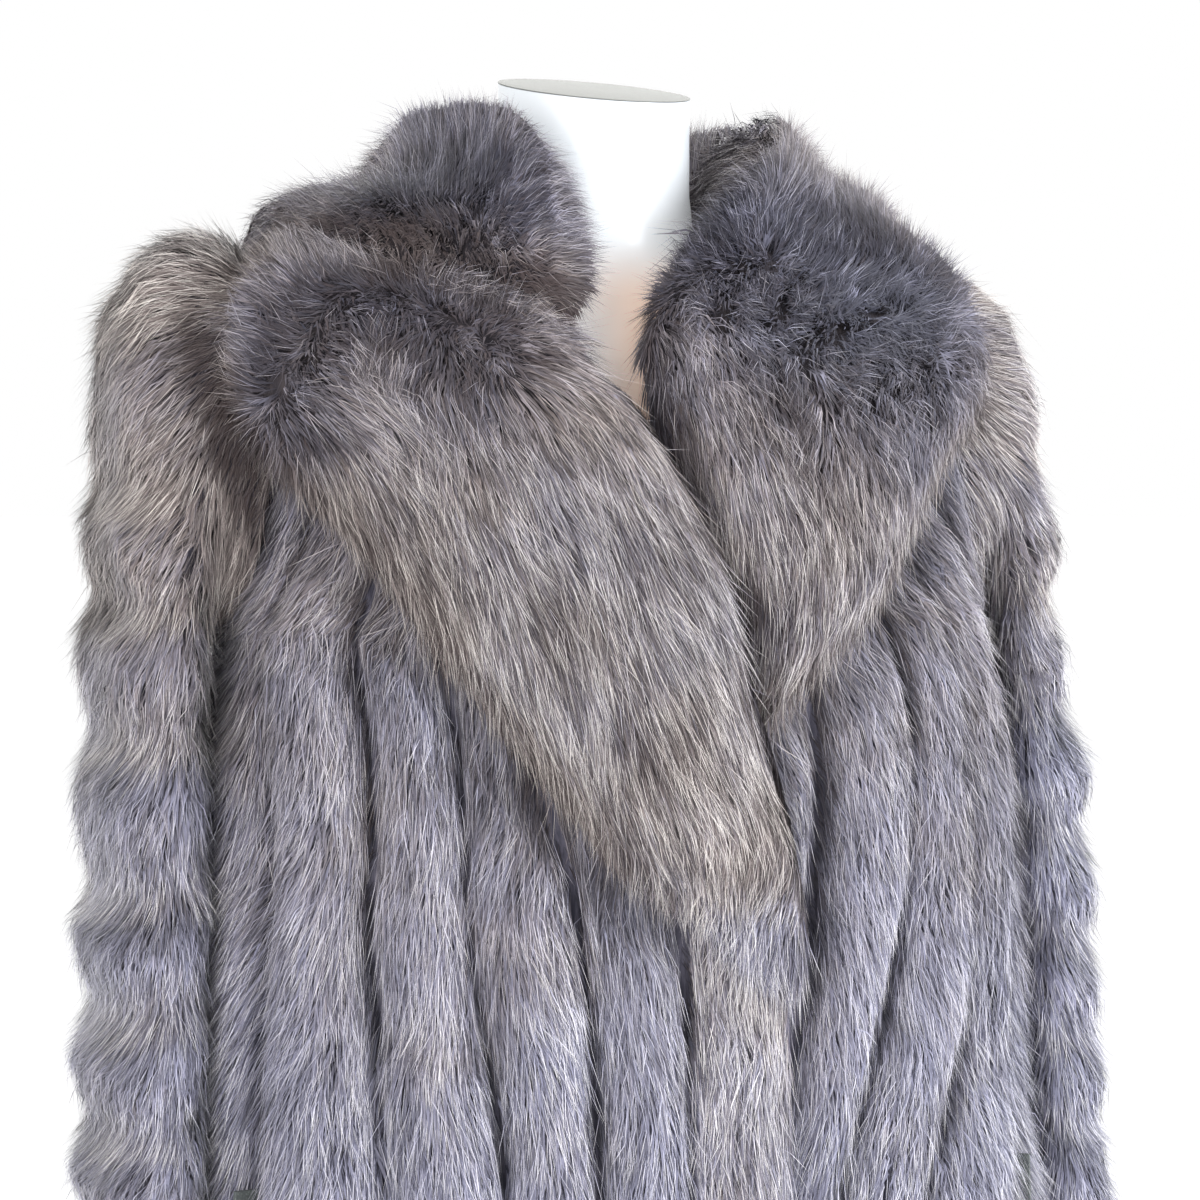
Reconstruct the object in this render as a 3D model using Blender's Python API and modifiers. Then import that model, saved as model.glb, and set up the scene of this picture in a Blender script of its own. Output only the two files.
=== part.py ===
# A fox fur coat standing on a limbless dress form.
# Metres, +Z up. The origin is the middle of the base's underside, the front faces -Y, and the
# wearer's right is -X. Every cloth piece is a wall laid on one surface, the coat's lining, which
# is worked out from a table of level sections. A place on it is a turn and a height: the turn is
# 0 at the front middle, 1 at the wearer's left side, -1 at the right side and 2 at the back
# middle, and in between it follows the girth. Fur stands on the lining by its own height.

import math

import bpy
import numpy as np

# ---- the coat's levels ----
HEM = 0.54
CLOSING = 1.0               # where the fronts part into the lapels
LAPEL_CROSSING = 1.30       # above it the lapels part round the neck
UNDERARM = 1.165
SHOULDER_TIP = 1.351
NECKLINE = 1.388

# ---- the coat's cut ----
OVERLAP = 0.062             # how far the right front runs past the middle
UNDERLAP = 0.050            # how far the left front runs under it
LAPEL_UNDERLAP = 0.016      # how far the left lapel does
FRONTS_PART = (1.015, 1.075)        # the levels where their edges swing to the lapels' rolls
ARMHOLE_DEPTH = 0.056       # half of the armhole from front to back
LAPEL_INSET = 0.012         # from the roll of a lapel back to the cut edge of its front

# ---- fur heights over the lining ----
CREST = 0.027               # on the crest of a strip
GROOVE = 0.012              # in the seam between two strips
SEAM = 0.007                # at an edge that is sewn on
PRESSED = 0.010             # under the collar
EDGE = 0.009                # at a free edge
LIFT_FOOT = 0.066           # the right front begins to rise this far from the left one's edge
LIFT_LENGTH = 0.055         # and is up after this much
LIFT_HEIGHT = 0.030         # at the lapels' crossing it comes down over this height
LAP_REACH = 0.022           # how far past the right front's edge the left one is pressed
PRESS_REACH = 0.036         # how far below the collar's edge it begins to press
LAPEL_PRESS_REACH = 0.052   # and below a lapel's edge, which slants
SEAM_SLOPE = 0.3            # how fast the fur rises from the armhole and the side seam
GAP = 0.0024                # between two layers
SEAM_GAP = 0.0004           # between two pieces sewn edge to edge
LAP_GAP = 0.0036            # between the fronts, whose cuts don't line up
COLLAR_GAP = 0.0046         # under the collar, likewise
ARMHOLE_GAP = 0.0010        # between a sleeve and the armhole, both bent
LAPPED = 0.006              # the left front where the right one lies over it
TUCKED = 0.009              # the left lapel where the right one lies over it
UNDERARM_FUR = 0.0085       # between an arm and the body
RIDGE_POWER = 0.7           # below 1 the crest of a strip is broad and its seam narrow
UNEVEN = 0.11               # share by which the fur of a strip swells and sinks along it
UNEVEN_LENGTH = 0.23        # from one swelling to the next
FRONT_WANDER = 0.008        # sideways wander of the seams, as a share of the panel's width
BACK_WANDER = 0.007
WANDER_LENGTH = 0.31
STRIP_PHASE = 2.3           # how far one strip's swelling is ahead of the next one's, as an angle
SEAM_PHASE = 1.9            # the same for the wander of a seam
EDGE_FADE = 0.018           # over how much height or width the fur changes at a lap or the collar
HEM_ROUND = 0.050           # height over which the fur shortens to the hem

# ---- where the panels' edges run ----
NECK_SHARE = 0.38           # share of a front's top edge that goes round the neck
NECK_DIP = 0.006            # how much lower the neckline lies in front
SHOULDER_SHARE = 0.30       # share of the back's top edge that is one shoulder
ARMHOLE_FADE = 0.45         # share of the back's width over which its strips bend to the armhole
CLOSING_ROW = CLOSING - 0.01        # the row of points at the foot of the lapels

# ---- how finely the pieces are divided ----
ARMHOLE_ROWS = 10
CHEST_ROWS = 7              # from the underarm to the closing
SKIRT_ROWS = 10
STRIP_CUTS = 4              # divisions across one strip
COLLAR_STATIONS = (12, 15, 34)      # up to the fold, across it and beyond it
OVER_CUTS = 10              # divisions across the collar's upper side
UNDER_CUTS = 7              # and across its underside
TIER_CUTS = 4               # divisions along one tier of a sleeve
FORM_SIDES = 32

# The coat hangs a little to the wearer's left below the chest: that is the aside column.
LINING_COLUMNS = ("height", "half_width", "front", "back", "squareness", "aside")
LINING_SECTIONS = (
    (0.540, 0.232, 0.170, 0.158, 2.6, 0.007),
    (0.720, 0.224, 0.160, 0.146, 2.6, 0.007),
    (0.900, 0.216, 0.150, 0.131, 2.7, 0.007),
    (1.020, 0.212, 0.146, 0.119, 2.7, 0.006),
    (1.120, 0.207, 0.147, 0.120, 2.6, 0.002),
    (1.165, 0.204, 0.145, 0.121, 2.5, 0.000),
    (1.250, 0.203, 0.131, 0.117, 2.4, 0.000),
    (1.318, 0.200, 0.113, 0.105, 2.4, 0.000),
    (1.351, 0.185, 0.101, 0.094, 2.3, 0.000),
    (1.368, 0.142, 0.090, 0.083, 2.15, 0.000),
    (1.380, 0.100, 0.078, 0.072, 2.05, 0.000),
    (1.390, 0.074, 0.066, 0.062, 2.0, 0.000),
)
GIRTH_SECTION = 5           # the row whose girth spaces the turns

# Seams between the strips of each front, as turns, from the one nearest the front edge to the
# one nearest the side seam.
STRIP_COLUMNS = ("height", "first", "second", "third", "fourth", "fifth")
RIGHT_STRIPS = (
    (0.540, -0.010, -0.160, -0.325, -0.512, -0.765),
    (0.900, -0.010, -0.162, -0.327, -0.515, -0.772),
    (0.956, -0.010, -0.178, -0.347, -0.522, -0.773),
    (1.007, -0.020, -0.194, -0.360, -0.545, -0.762),
    (1.060, -0.050, -0.212, -0.371, -0.553, -0.741),
    (1.095, -0.110, -0.240, -0.385, -0.556, -0.755),
    (1.132, -0.165, -0.290, -0.412, -0.569, -0.777),
    (1.165, -0.240, -0.350, -0.440, -0.592, -0.790),
)
LEFT_STRIPS = (
    (0.540, 0.000, 0.120, 0.250, 0.440, 0.700),
    (0.866, 0.000, 0.150, 0.260, 0.435, 0.680),
    (0.922, 0.010, 0.170, 0.314, 0.490, 0.690),
    (0.968, 0.010, 0.200, 0.350, 0.540, 0.730),
    (1.015, 0.010, 0.215, 0.388, 0.568, 0.785),
    (1.057, 0.010, 0.227, 0.415, 0.590, 0.800),
    (1.098, 0.020, 0.236, 0.438, 0.608, 0.790),
    (1.140, 0.035, 0.245, 0.456, 0.585, 0.760),
    (1.165, 0.045, 0.250, 0.455, 0.570, 0.740),
)
FRONT_STRIP_COUNT = len(STRIP_COLUMNS)
BACK_STRIPS = 10

# The roll of each lapel, from the top button place up to the neck, as metres from the middle.
ROLL_COLUMNS = ("height", "right", "left")
ROLL_LINE = (
    (1.000, 0.058, -0.006),
    (1.060, 0.049, -0.008),
    (1.126, 0.037, -0.012),
    (1.170, 0.024, -0.014),
    (1.221, 0.007, -0.014),
    (1.260, -0.007, -0.010),
    (1.286, -0.022, -0.009),
    (1.308, -0.044, -0.010),
    (1.326, -0.045, -0.009),
    (1.352, -0.041, -0.003),
    (1.372, -0.038, 0.012),
    (1.388, -0.040, 0.024),
)

# The collar, station by station from the tip of the right lapel round the neck to the left one.
# A station is a cut across the collar, from its inner edge to its outer edge.
COLLAR_COLUMNS = (
    "along", "inner_turn", "inner_height", "outer_turn", "outer_height",
    "plump", "stand", "lean",
)
COLLAR_TABLE = (
    (0.00, 0.170, 0.998, 0.070, 0.998, 0.008, 0.0, 0.0),
    (0.05, 0.172, 1.022, 0.000, 1.024, 0.020, 0.0, 0.0),
    (0.10, 0.162, 1.056, -0.130, 1.060, 0.031, 0.0, 0.0),
    (0.17, 0.132, 1.118, -0.290, 1.118, 0.034, 0.0, 0.0),
    (0.24, 0.078, 1.172, -0.440, 1.174, 0.035, 0.0, 0.0),
    (0.31, 0.012, 1.230, -0.590, 1.228, 0.036, 0.0, 0.0),
    (0.37, -0.075, 1.286, -0.730, 1.272, 0.038, 0.1, 0.0),
    (0.42, -0.158, 1.322, -0.770, 1.312, 0.038, 0.4, 0.1),
    (0.47, -0.200, 1.352, -0.835, 1.340, 0.039, 0.8, 0.4),
    (0.52, -0.340, 1.376, -0.930, 1.356, 0.037, 1.1, 0.8),
    (0.58, -0.620, 1.386, -1.120, 1.350, 0.034, 1.2, 1.2),
    (0.66, -1.050, 1.388, -1.330, 1.334, 0.033, 1.1, 1.4),
    (0.77, -1.500, 1.388, -1.620, 1.304, 0.032, 1.2, 1.4),
    (1.00, -2.000, 1.388, -2.000, 1.286, 0.032, 1.4, 1.4),
    (1.23, -2.500, 1.388, -2.380, 1.304, 0.032, 1.4, 1.4),
    (1.34, -2.950, 1.388, -2.670, 1.334, 0.033, 1.2, 1.4),
    (1.42, -3.300, 1.386, -2.870, 1.350, 0.034, 0.9, 1.2),
    (1.48, -3.600, 1.377, -3.080, 1.356, 0.035, 0.5, 0.8),
    (1.53, -3.860, 1.356, -3.185, 1.341, 0.036, 0.2, 0.4),
    (1.58, -4.025, 1.326, -3.235, 1.314, 0.038, 0.1, 0.1),
    (1.63, -4.034, 1.290, -3.370, 1.278, 0.040, 0.1, 0.0),
    (1.69, -4.046, 1.240, -3.500, 1.234, 0.038, 0.0, 0.0),
    (1.75, -4.050, 1.190, -3.620, 1.186, 0.036, 0.0, 0.0),
    (1.81, -4.046, 1.146, -3.780, 1.150, 0.034, 0.0, 0.0),
    (1.86, -4.030, 1.112, -3.890, 1.120, 0.026, 0.0, 0.0),
    (1.90, -4.000, 1.092, -3.950, 1.098, 0.010, 0.0, 0.0),
)
COLLAR_STAND = 0.036        # how much higher the collar is beside the neck than its plumpness
FOLD_PLACE = 0.430          # the fold across the right side, between collar and lapel
FOLD_SLANT = 0.075          # how much further along it lies at the outer edge
FOLD_WIDTH = 0.021
FOLD_DEPTH = 0.75           # share of the collar's height
FOLD_SPAN = (-0.055, 0.115)         # where stations stand closer, from the fold's place
SHOULDER_LIFT = 0.006       # where the collar's edge lies beside a sleeve's head
SLEEVE_SIDE = 0.193         # how far out the collar may reach there
SLEEVE_FRONT = 0.078        # how far forward the sleeve's head stands
COLLAR_ROUNDNESS = 0.62     # below 1 the collar's section is full at its edges
NECK_SPAN = 0.37            # share of the collar's width that stands up beside the neck
COLLAR_LEAN = 1.2           # how much the lean column tips the collar upwards

# A sleeve's lining, ring by ring: the outer point and the point next to the body of each ring.
# The left sleeve's outer side lies nearer the body by the last column.
SLEEVE_COLUMNS = (
    "along", "outer_x", "outer_z", "inner_x", "inner_z", "middle_y", "half_depth", "left_in",
)
SLEEVE_RINGS = (
    (0.000, 0.1850, 1.3510, 0.2040, 1.1650, 0.000, 0.056, 0.000),
    (0.014, 0.2080, 1.3590, 0.2200, 1.1720, 0.001, 0.057, 0.005),
    (0.035, 0.2300, 1.3620, 0.2270, 1.1750, 0.002, 0.058, 0.013),
    (0.065, 0.2470, 1.3470, 0.2320, 1.1690, 0.005, 0.060, 0.018),
    (0.100, 0.2550, 1.3120, 0.2360, 1.1570, 0.009, 0.061, 0.017),
    (0.150, 0.2600, 1.2600, 0.2390, 1.1400, 0.013, 0.062, 0.014),
    (0.220, 0.2640, 1.1890, 0.2410, 1.1080, 0.016, 0.062, 0.010),
    (0.320, 0.2710, 1.0870, 0.2430, 1.0460, 0.014, 0.060, 0.007),
    (0.450, 0.2770, 0.9550, 0.2465, 0.9400, 0.008, 0.057, 0.005),
    (0.560, 0.2800, 0.8450, 0.2500, 0.8420, 0.000, 0.054, 0.003),
    (0.648, 0.2830, 0.7560, 0.2550, 0.7560, -0.006, 0.052, 0.000),
)
LEFT_SLEEVE_DROP = 0.6      # how far its head drops for each metre that it lies further in
SLEEVE_TIERS = (0.0, 0.065, 0.165, 0.235, 0.320, 0.405, 0.475, 0.540, 0.596, 0.648)
TIER_CREST = 0.025          # on the outside of the arm
TIER_GROOVE = 0.017
SLEEVE_PRESSED = 0.0065     # against the body
TIER_OVERHANG = 1.25        # above 1 a tier is fullest below its middle
TIER_UNEVEN = 0.10          # share by which a tier is fuller on some sides
CUFF_ROUND = 0.030          # length over which the fur shortens to the cuff

POCKET_TOP = 0.868
POCKET_LENGTH = 0.150
POCKET_FOOT = GROOVE + 0.0015
POCKET_STAND = CREST + 0.001
POCKET_THICKNESS = 0.0022

# ---- the dress form ----
BASE_RADIUS = 0.175
BASE_THICKNESS = 0.012
POLE_RADIUS = 0.014
FORM_FLOOR = 0.70           # the underside of the torso
NECK_TOP = 1.470
CAP_RADIUS = 0.057
CAP_FORWARD = math.radians(10.5)
CAP_ASIDE = math.radians(4.5)
CAP_THICKNESS = 0.004
CAP_BEVEL = 0.0010
NECK_FOOT = 1.40            # where the form's neck begins
RIM_BEVEL = 0.003           # of the base
FORM_COLUMNS = ("height", "half_width", "front", "back")
FORM_SECTIONS = (
    (0.700, 0.158, 0.108, 0.118),
    (0.780, 0.172, 0.116, 0.134),
    (0.900, 0.150, 0.106, 0.110),
    (1.000, 0.118, 0.092, 0.088),
    (1.080, 0.132, 0.110, 0.095),
    (1.150, 0.150, 0.127, 0.105),
    (1.220, 0.155, 0.116, 0.106),
    (1.280, 0.166, 0.102, 0.098),
    (1.318, 0.166, 0.094, 0.088),
    (1.342, 0.140, 0.083, 0.074),
    (1.360, 0.096, 0.071, 0.062),
    (1.376, 0.070, 0.061, 0.055),
    (1.400, 0.061, 0.057, 0.053),
    (1.462, 0.057, 0.055, 0.055),
)

FUR = (0.30, 0.29, 0.35)
COLLAR_FUR = (0.24, 0.21, 0.21)


# ---- curves and sections ----

def ease(value):
    # 0 below 0, 1 above 1, and a smooth step between.
    value = np.clip(value, 0.0, 1.0)
    return value * value * (3.0 - 2.0 * value)


def through(rows, at):
    # A smooth curve through each column of rows, read at values of the first column.
    table = np.asarray(rows, float)
    keys = table[:, 0]
    at = np.asarray(at, float)
    index = np.clip(np.searchsorted(keys, at) - 1, 0, len(keys) - 2)
    step = keys[index + 1] - keys[index]
    share = np.clip((at - keys[index]) / step, 0.0, 1.0)
    found = []
    for column in table[:, 1:].T:
        slope = np.gradient(column, keys)
        start, end = column[index], column[index + 1]
        run = share * share * (3.0 - 2.0 * share)
        rise = share * (1.0 - share) ** 2 * step * slope[index]
        fall = share * share * (share - 1.0) * step * slope[index + 1]
        found.append(start + (end - start) * run + rise + fall)
    return found


def quarter_girth():
    # The angle of a quarter section at each share of its length, on the chest section.
    _, half_width, front, _, squareness, _ = LINING_SECTIONS[GIRTH_SECTION]
    angle = np.linspace(0.0, math.pi / 2, 400)
    across = half_width * np.sin(angle) ** (2 / squareness)
    deep = front * np.cos(angle) ** (2 / squareness)
    length = np.concatenate([[0.0], np.cumsum(np.hypot(np.diff(across), np.diff(deep)))])
    return length / length[-1], angle, length[-1]


GIRTH_SHARE, GIRTH_ANGLE, QUARTER_LENGTH = quarter_girth()


def lining(turn, height):
    # The point of the lining at a turn round the body and a height.
    half_width, front, back, squareness, aside = through(LINING_SECTIONS, height)
    turn = np.mod(np.asarray(turn, float) + 2.0, 4.0) - 2.0
    ahead = np.abs(turn) <= 1.0
    quarter = np.where(ahead, np.abs(turn), 2.0 - np.abs(turn))
    angle = np.interp(quarter, GIRTH_SHARE, GIRTH_ANGLE)
    x = aside + half_width * np.sin(angle) ** (2 / squareness) * np.sign(turn)
    y = np.where(ahead, -front, back) * np.cos(angle) ** (2 / squareness)
    return np.stack(np.broadcast_arrays(x, y, np.asarray(height, float)), axis=-1)


def normal(turn, height):
    # The outward direction of the lining there.
    turn_step, height_step = 0.02, 0.004
    top = np.minimum(np.asarray(height, float) + height_step, LINING_SECTIONS[-1][0])
    around = lining(turn + turn_step, height) - lining(turn - turn_step, height)
    up = lining(turn, top) - lining(turn, height - height_step)
    across = np.cross(around, up)
    return across / np.linalg.norm(across, axis=-1, keepdims=True)


def standing(turn, height, out):
    # The point that stands off the lining by a height of fur.
    return lining(turn, height) + normal(turn, height) * np.asarray(out)[..., None]


def turn_at(x, height):
    # The turn of a point of the front that is x from the middle.
    half_width, _, _, squareness, aside = through(LINING_SECTIONS, height)
    share = np.clip(np.abs(x - aside) / half_width, 0.0, 1.0)
    angle = np.arcsin(share ** (squareness / 2))
    return np.sign(x - aside) * np.interp(angle, GIRTH_ANGLE, GIRTH_SHARE)


def armhole_turn(height, ahead, inset=0.0):
    # How far the armhole's edge lies from the side seam, as a turn. Inset makes it smaller.
    _, front, back, squareness, _ = through(LINING_SECTIONS, height)
    middle = (SHOULDER_TIP + UNDERARM) / 2
    reach = (SHOULDER_TIP - UNDERARM) / 2 - inset
    round_share = np.sqrt(np.clip(1.0 - ((height - middle) / reach) ** 2, 0.0, 1.0))
    deep = (ARMHOLE_DEPTH - inset) * round_share
    ratio = deep / np.where(ahead, front, back)
    angle = np.arccos(np.clip(ratio, 0.0, 1.0) ** (squareness / 2))
    return 1.0 - np.interp(angle, GIRTH_ANGLE, GIRTH_SHARE)


def from_side_seam(turn):
    # How far round a place is from the nearer side seam.
    return np.abs(np.abs(np.mod(turn + 2.0, 4.0) - 2.0) - 1.0)


def covered(turn, height, right_front):
    # 1 where the collar lies over the fur, 0 away from it. The collar's own turns run down from
    # the right lapel to -4 at the left one.
    rows = np.asarray(COLLAR_TABLE)
    collar_turn = turn if right_front else turn - 4.0
    edge = np.interp(-collar_turn, -rows[:, 3], rows[:, 4])
    ahead = np.abs(np.mod(turn + 2.0, 4.0) - 2.0) < 1.0
    reach = np.where(ahead, LAPEL_PRESS_REACH, PRESS_REACH)
    return ease((height - edge + reach) / EDGE_FADE)


def lapped_over(turn, height):
    # 1 where the right front or lapel lies over the left one, 0 away from them.
    x = lining(turn, height)[..., 0]
    limit = np.where(height < CLOSING, OVERLAP, through(ROLL_LINE, height)[0])
    limit = np.where(height > LAPEL_CROSSING, -1.0, limit)
    return ease((limit + LAP_REACH - x) / EDGE_FADE)


def lap_lift(turn, height):
    # How far the right front and lapel are lifted by the left ones under them.
    x = lining(turn, height)[..., 0]
    part_low, part_high = FRONTS_PART
    lapels = ease((height - part_low) / (part_high - part_low))
    under = LAPPED + LAP_GAP + (TUCKED + GAP) * lapels
    reach = UNDERLAP + (LAPEL_UNDERLAP - UNDERLAP) * lapels
    near = ease((x + reach + LIFT_FOOT) / LIFT_LENGTH) * (np.abs(turn) < 0.9)
    return under * near * ease((LAPEL_CROSSING + 0.4 * LIFT_HEIGHT - height) / LIFT_HEIGHT)


# ---- meshes ----

def material(name, color, roughness, metallic=0.0):
    made = bpy.data.materials.new(name)
    made.use_nodes = True
    shader = made.node_tree.nodes["Principled BSDF"]
    shader.inputs["Base Color"].default_value = (*color, 1.0)
    shader.inputs["Roughness"].default_value = roughness
    shader.inputs["Metallic"].default_value = metallic
    return made


def add_object(name, points, faces, look):
    # A closed mesh, turned to face outwards.
    points = np.asarray(points, float)
    mesh = bpy.data.meshes.new(name)
    mesh.from_pydata(points.tolist(), [], faces)
    mesh.calc_loop_triangles()
    corners = points[np.array([list(t.vertices) for t in mesh.loop_triangles])]
    if np.linalg.det(corners - points.mean(axis=0)).sum() < 0:
        mesh.flip_normals()
    mesh.shade_smooth()
    mesh.set_sharp_from_angle(angle=math.radians(50))
    mesh.materials.append(look)
    made = bpy.data.objects.new(name, mesh)
    COAT.objects.link(made)
    return made


def grid_faces(ids, wrap=False):
    # Quads between the neighbouring points of a grid of indices.
    if wrap:
        ids = np.concatenate([ids, ids[:, :1]], axis=1)
    quads = np.stack([ids[:-1, :-1], ids[:-1, 1:], ids[1:, 1:], ids[1:, :-1]], axis=-1)
    return quads.reshape(-1, 4).tolist()


def join_edges(outer, inner):
    # Triangles between two edges that may have unlike numbers of points.
    faces = []
    i = j = 0
    while i < len(outer) - 1 or j < len(inner) - 1:
        outer_next = (i + 1) / (len(outer) - 1)
        inner_next = (j + 1) / (len(inner) - 1)
        if j == len(inner) - 1 or (i < len(outer) - 1 and outer_next <= inner_next + 1e-9):
            faces.append([int(outer[i]), int(inner[j]), int(outer[i + 1])])
            i += 1
        else:
            faces.append([int(outer[i]), int(inner[j]), int(inner[j + 1])])
            j += 1
    return faces


def flipped(faces):
    return [face[::-1] for face in faces]


def add_wall(name, outer, inner, look):
    # A sheet of cloth with four edges: a fine outer grid, a plain inner one and the rim between.
    outer_ids = np.arange(outer.shape[0] * outer.shape[1]).reshape(outer.shape[:2])
    inner_ids = np.arange(inner.shape[0] * inner.shape[1]).reshape(inner.shape[:2])
    inner_ids = inner_ids + outer_ids.size
    faces = grid_faces(outer_ids) + flipped(grid_faces(inner_ids))
    faces += join_edges(outer_ids[0], inner_ids[0])
    faces += flipped(join_edges(outer_ids[-1], inner_ids[-1]))
    faces += flipped(join_edges(outer_ids[:, 0], inner_ids[:, 0]))
    faces += join_edges(outer_ids[:, -1], inner_ids[:, -1])
    points = np.concatenate([outer.reshape(-1, 3), inner.reshape(-1, 3)])
    return add_object(name, points, faces, look)


def add_tube(name, outer, inner, look):
    # A sleeve: two grids closed round the arm, with a rim at each open end.
    outer_ids = np.arange(outer.shape[0] * outer.shape[1]).reshape(outer.shape[:2])
    inner_ids = np.arange(inner.shape[0] * inner.shape[1]).reshape(inner.shape[:2])
    inner_ids = inner_ids + outer_ids.size
    faces = grid_faces(outer_ids, wrap=True) + flipped(grid_faces(inner_ids, wrap=True))
    for end, turned in ((0, False), (-1, True)):
        loop = np.append(outer_ids[end], outer_ids[end][0])
        within = np.append(inner_ids[end], inner_ids[end][0])
        rim = join_edges(loop, within)
        faces += flipped(rim) if turned else rim
    points = np.concatenate([outer.reshape(-1, 3), inner.reshape(-1, 3)])
    return add_object(name, points, faces, look)


def add_loft(name, rings, look):
    # Closed rings of equal counts, joined, with a flat face at each end.
    ids = np.arange(rings.shape[0] * rings.shape[1]).reshape(rings.shape[:2])
    faces = grid_faces(ids, wrap=True)
    faces.append(ids[0][::-1].tolist())
    faces.append(ids[-1].tolist())
    return add_object(name, rings.reshape(-1, 3), faces, look)


# ---- the body: two fronts and a back ----

def row_heights():
    # Levels of a panel's rows at its side: round the armhole, then down to the hem.
    middle = (SHOULDER_TIP + UNDERARM) / 2
    reach = (SHOULDER_TIP - UNDERARM) / 2
    angle = np.linspace(0.0, math.pi, ARMHOLE_ROWS + 1)
    chest = np.linspace(UNDERARM, CLOSING_ROW, CHEST_ROWS + 1)
    skirt = np.linspace(CLOSING_ROW, HEM, SKIRT_ROWS + 1)
    return np.concatenate([middle + reach * np.cos(angle), chest[1:], skirt[1:]])


def strip_shares(seams):
    # Shares across a panel with STRIP_CUTS divisions to a strip, row by row.
    cuts = np.arange(STRIP_CUTS) / STRIP_CUTS
    starts = seams[:, :-1, None] + (seams[:, 1:] - seams[:, :-1])[:, :, None] * cuts
    return np.concatenate([starts.reshape(len(seams), -1), seams[:, -1:]], axis=1)


def strip_fur(rows, strips, height):
    # Fur height of a ribbed panel before anything presses it: seams, crests and uneven growth.
    place = np.arange(strips * STRIP_CUTS + 1) / STRIP_CUTS
    ridge = np.abs(np.sin(math.pi * place)) ** RIDGE_POWER
    strip = np.minimum(np.floor(place), strips - 1)
    uneven = 1.0 + UNEVEN * np.sin(2 * math.pi * height / UNEVEN_LENGTH + STRIP_PHASE * strip)
    return GROOVE + (CREST - GROOVE) * ridge * uneven * np.ones((rows, 1))


def wander(height, count, size):
    # Small sideways wander of the seams, none at a panel's own edges.
    number = np.arange(count)
    shift = size * np.sin(2 * math.pi * height / WANDER_LENGTH + SEAM_PHASE * number)
    shift[:, 0] = 0.0
    shift[:, -1] = 0.0
    return shift


def front_edge(side):
    # The front's inner boundary for each row, as turn and height: neckline, roll, front edge.
    levels = row_heights()
    roll_right, roll_left = through(ROLL_LINE, levels[ARMHOLE_ROWS:])
    part_low, part_high = FRONTS_PART
    closed = ease((part_high - levels[ARMHOLE_ROWS:]) / (part_high - part_low))
    x = roll_right - LAPEL_INSET if side < 0 else roll_left + LAPEL_INSET
    edge = OVERLAP if side < 0 else -UNDERLAP
    skirt_turn = turn_at(x + (edge - x) * closed, levels[ARMHOLE_ROWS:])
    # Above the underarm the boundary climbs the roll line and then rounds the neck.
    share = np.linspace(0.0, 1.0, ARMHOLE_ROWS + 1)
    at_neck = share < NECK_SHARE
    neck_front = NECKLINE - NECK_DIP
    climb = neck_front - (neck_front - UNDERARM) * (share - NECK_SHARE) / (1 - NECK_SHARE)
    height = np.where(at_neck, NECKLINE - NECK_DIP * share / NECK_SHARE, climb)
    roll_right, roll_left = through(ROLL_LINE, height)
    roll = turn_at(roll_right - LAPEL_INSET if side < 0 else roll_left + LAPEL_INSET, height)
    start = roll[np.searchsorted(share, NECK_SHARE)]
    turn = np.where(at_neck, side + (start - side) * share / NECK_SHARE, roll)
    return np.append(turn[:-1], skirt_turn), np.append(height[:-1], levels[ARMHOLE_ROWS:])


def front_panel(side):
    # Turns, heights and fur of one front, from its front edge to its side seam.
    levels = row_heights()
    edge_turn, edge_height = front_edge(side)
    arm = np.where(levels > UNDERARM, armhole_turn(levels, True), 0.0)
    side_turn = side * (1.0 - arm) - side * SEAM_GAP
    # Above the underarm the strips keep their shares of the width, so they narrow to the shoulder.
    strips = RIGHT_STRIPS if side < 0 else LEFT_STRIPS
    row = np.maximum(np.arange(len(levels)), ARMHOLE_ROWS)
    seams = np.stack(through(strips, levels[row]), axis=1)
    seams = np.column_stack([edge_turn[row], seams, side_turn[row]])
    seams = (seams - edge_turn[row][:, None]) / (side_turn - edge_turn)[row][:, None]
    share = strip_shares(seams + wander(levels[:, None], seams.shape[1], FRONT_WANDER))
    turn = edge_turn[:, None] + (side_turn - edge_turn)[:, None] * share
    height = edge_height[:, None] + (levels - edge_height)[:, None] * share
    fur = strip_fur(len(levels), FRONT_STRIP_COUNT, levels[:, None])
    return turn, height, fur


def back_panel():
    # Turns, heights and fur of the back, from the left side seam round to the right one.
    levels = row_heights()
    seams = np.tile(np.linspace(0.0, 1.0, BACK_STRIPS + 1), (len(levels), 1))
    seams = seams + wander(levels[:, None], BACK_STRIPS + 1, BACK_WANDER)
    share = strip_shares(seams)
    down = np.clip((SHOULDER_TIP - levels) / (SHOULDER_TIP - UNDERARM), 0.0, 1.0)[:, None]
    slope = np.clip(np.minimum(share, 1.0 - share) / SHOULDER_SHARE, 0.0, 1.0)
    top_height = SHOULDER_TIP + (NECKLINE - SHOULDER_TIP) * slope
    round_neck = np.clip((share - SHOULDER_SHARE) / (1 - 2 * SHOULDER_SHARE), 0.0, 1.0)
    # The top row keeps to the shoulders and the neck, and the lower ones spread out evenly.
    settle = np.minimum(down * 1.5, 1.0)
    turn = 1.0 + 2.0 * (round_neck + (share - round_neck) * settle)
    sloping = top_height * (1 - down) + UNDERARM * down
    height = np.where(levels[:, None] > UNDERARM, sloping, levels[:, None])
    arm = np.where(levels > UNDERARM, armhole_turn(levels, False), 0.0)[:, None] + SEAM_GAP
    left_fade = np.clip(1.0 - share / ARMHOLE_FADE, 0.0, 1.0)
    right_fade = np.clip(1.0 - (1.0 - share) / ARMHOLE_FADE, 0.0, 1.0)
    turn = turn + arm * left_fade - arm * right_fade
    fur = strip_fur(len(levels), BACK_STRIPS, levels[:, None])
    return turn, height, fur


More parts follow.
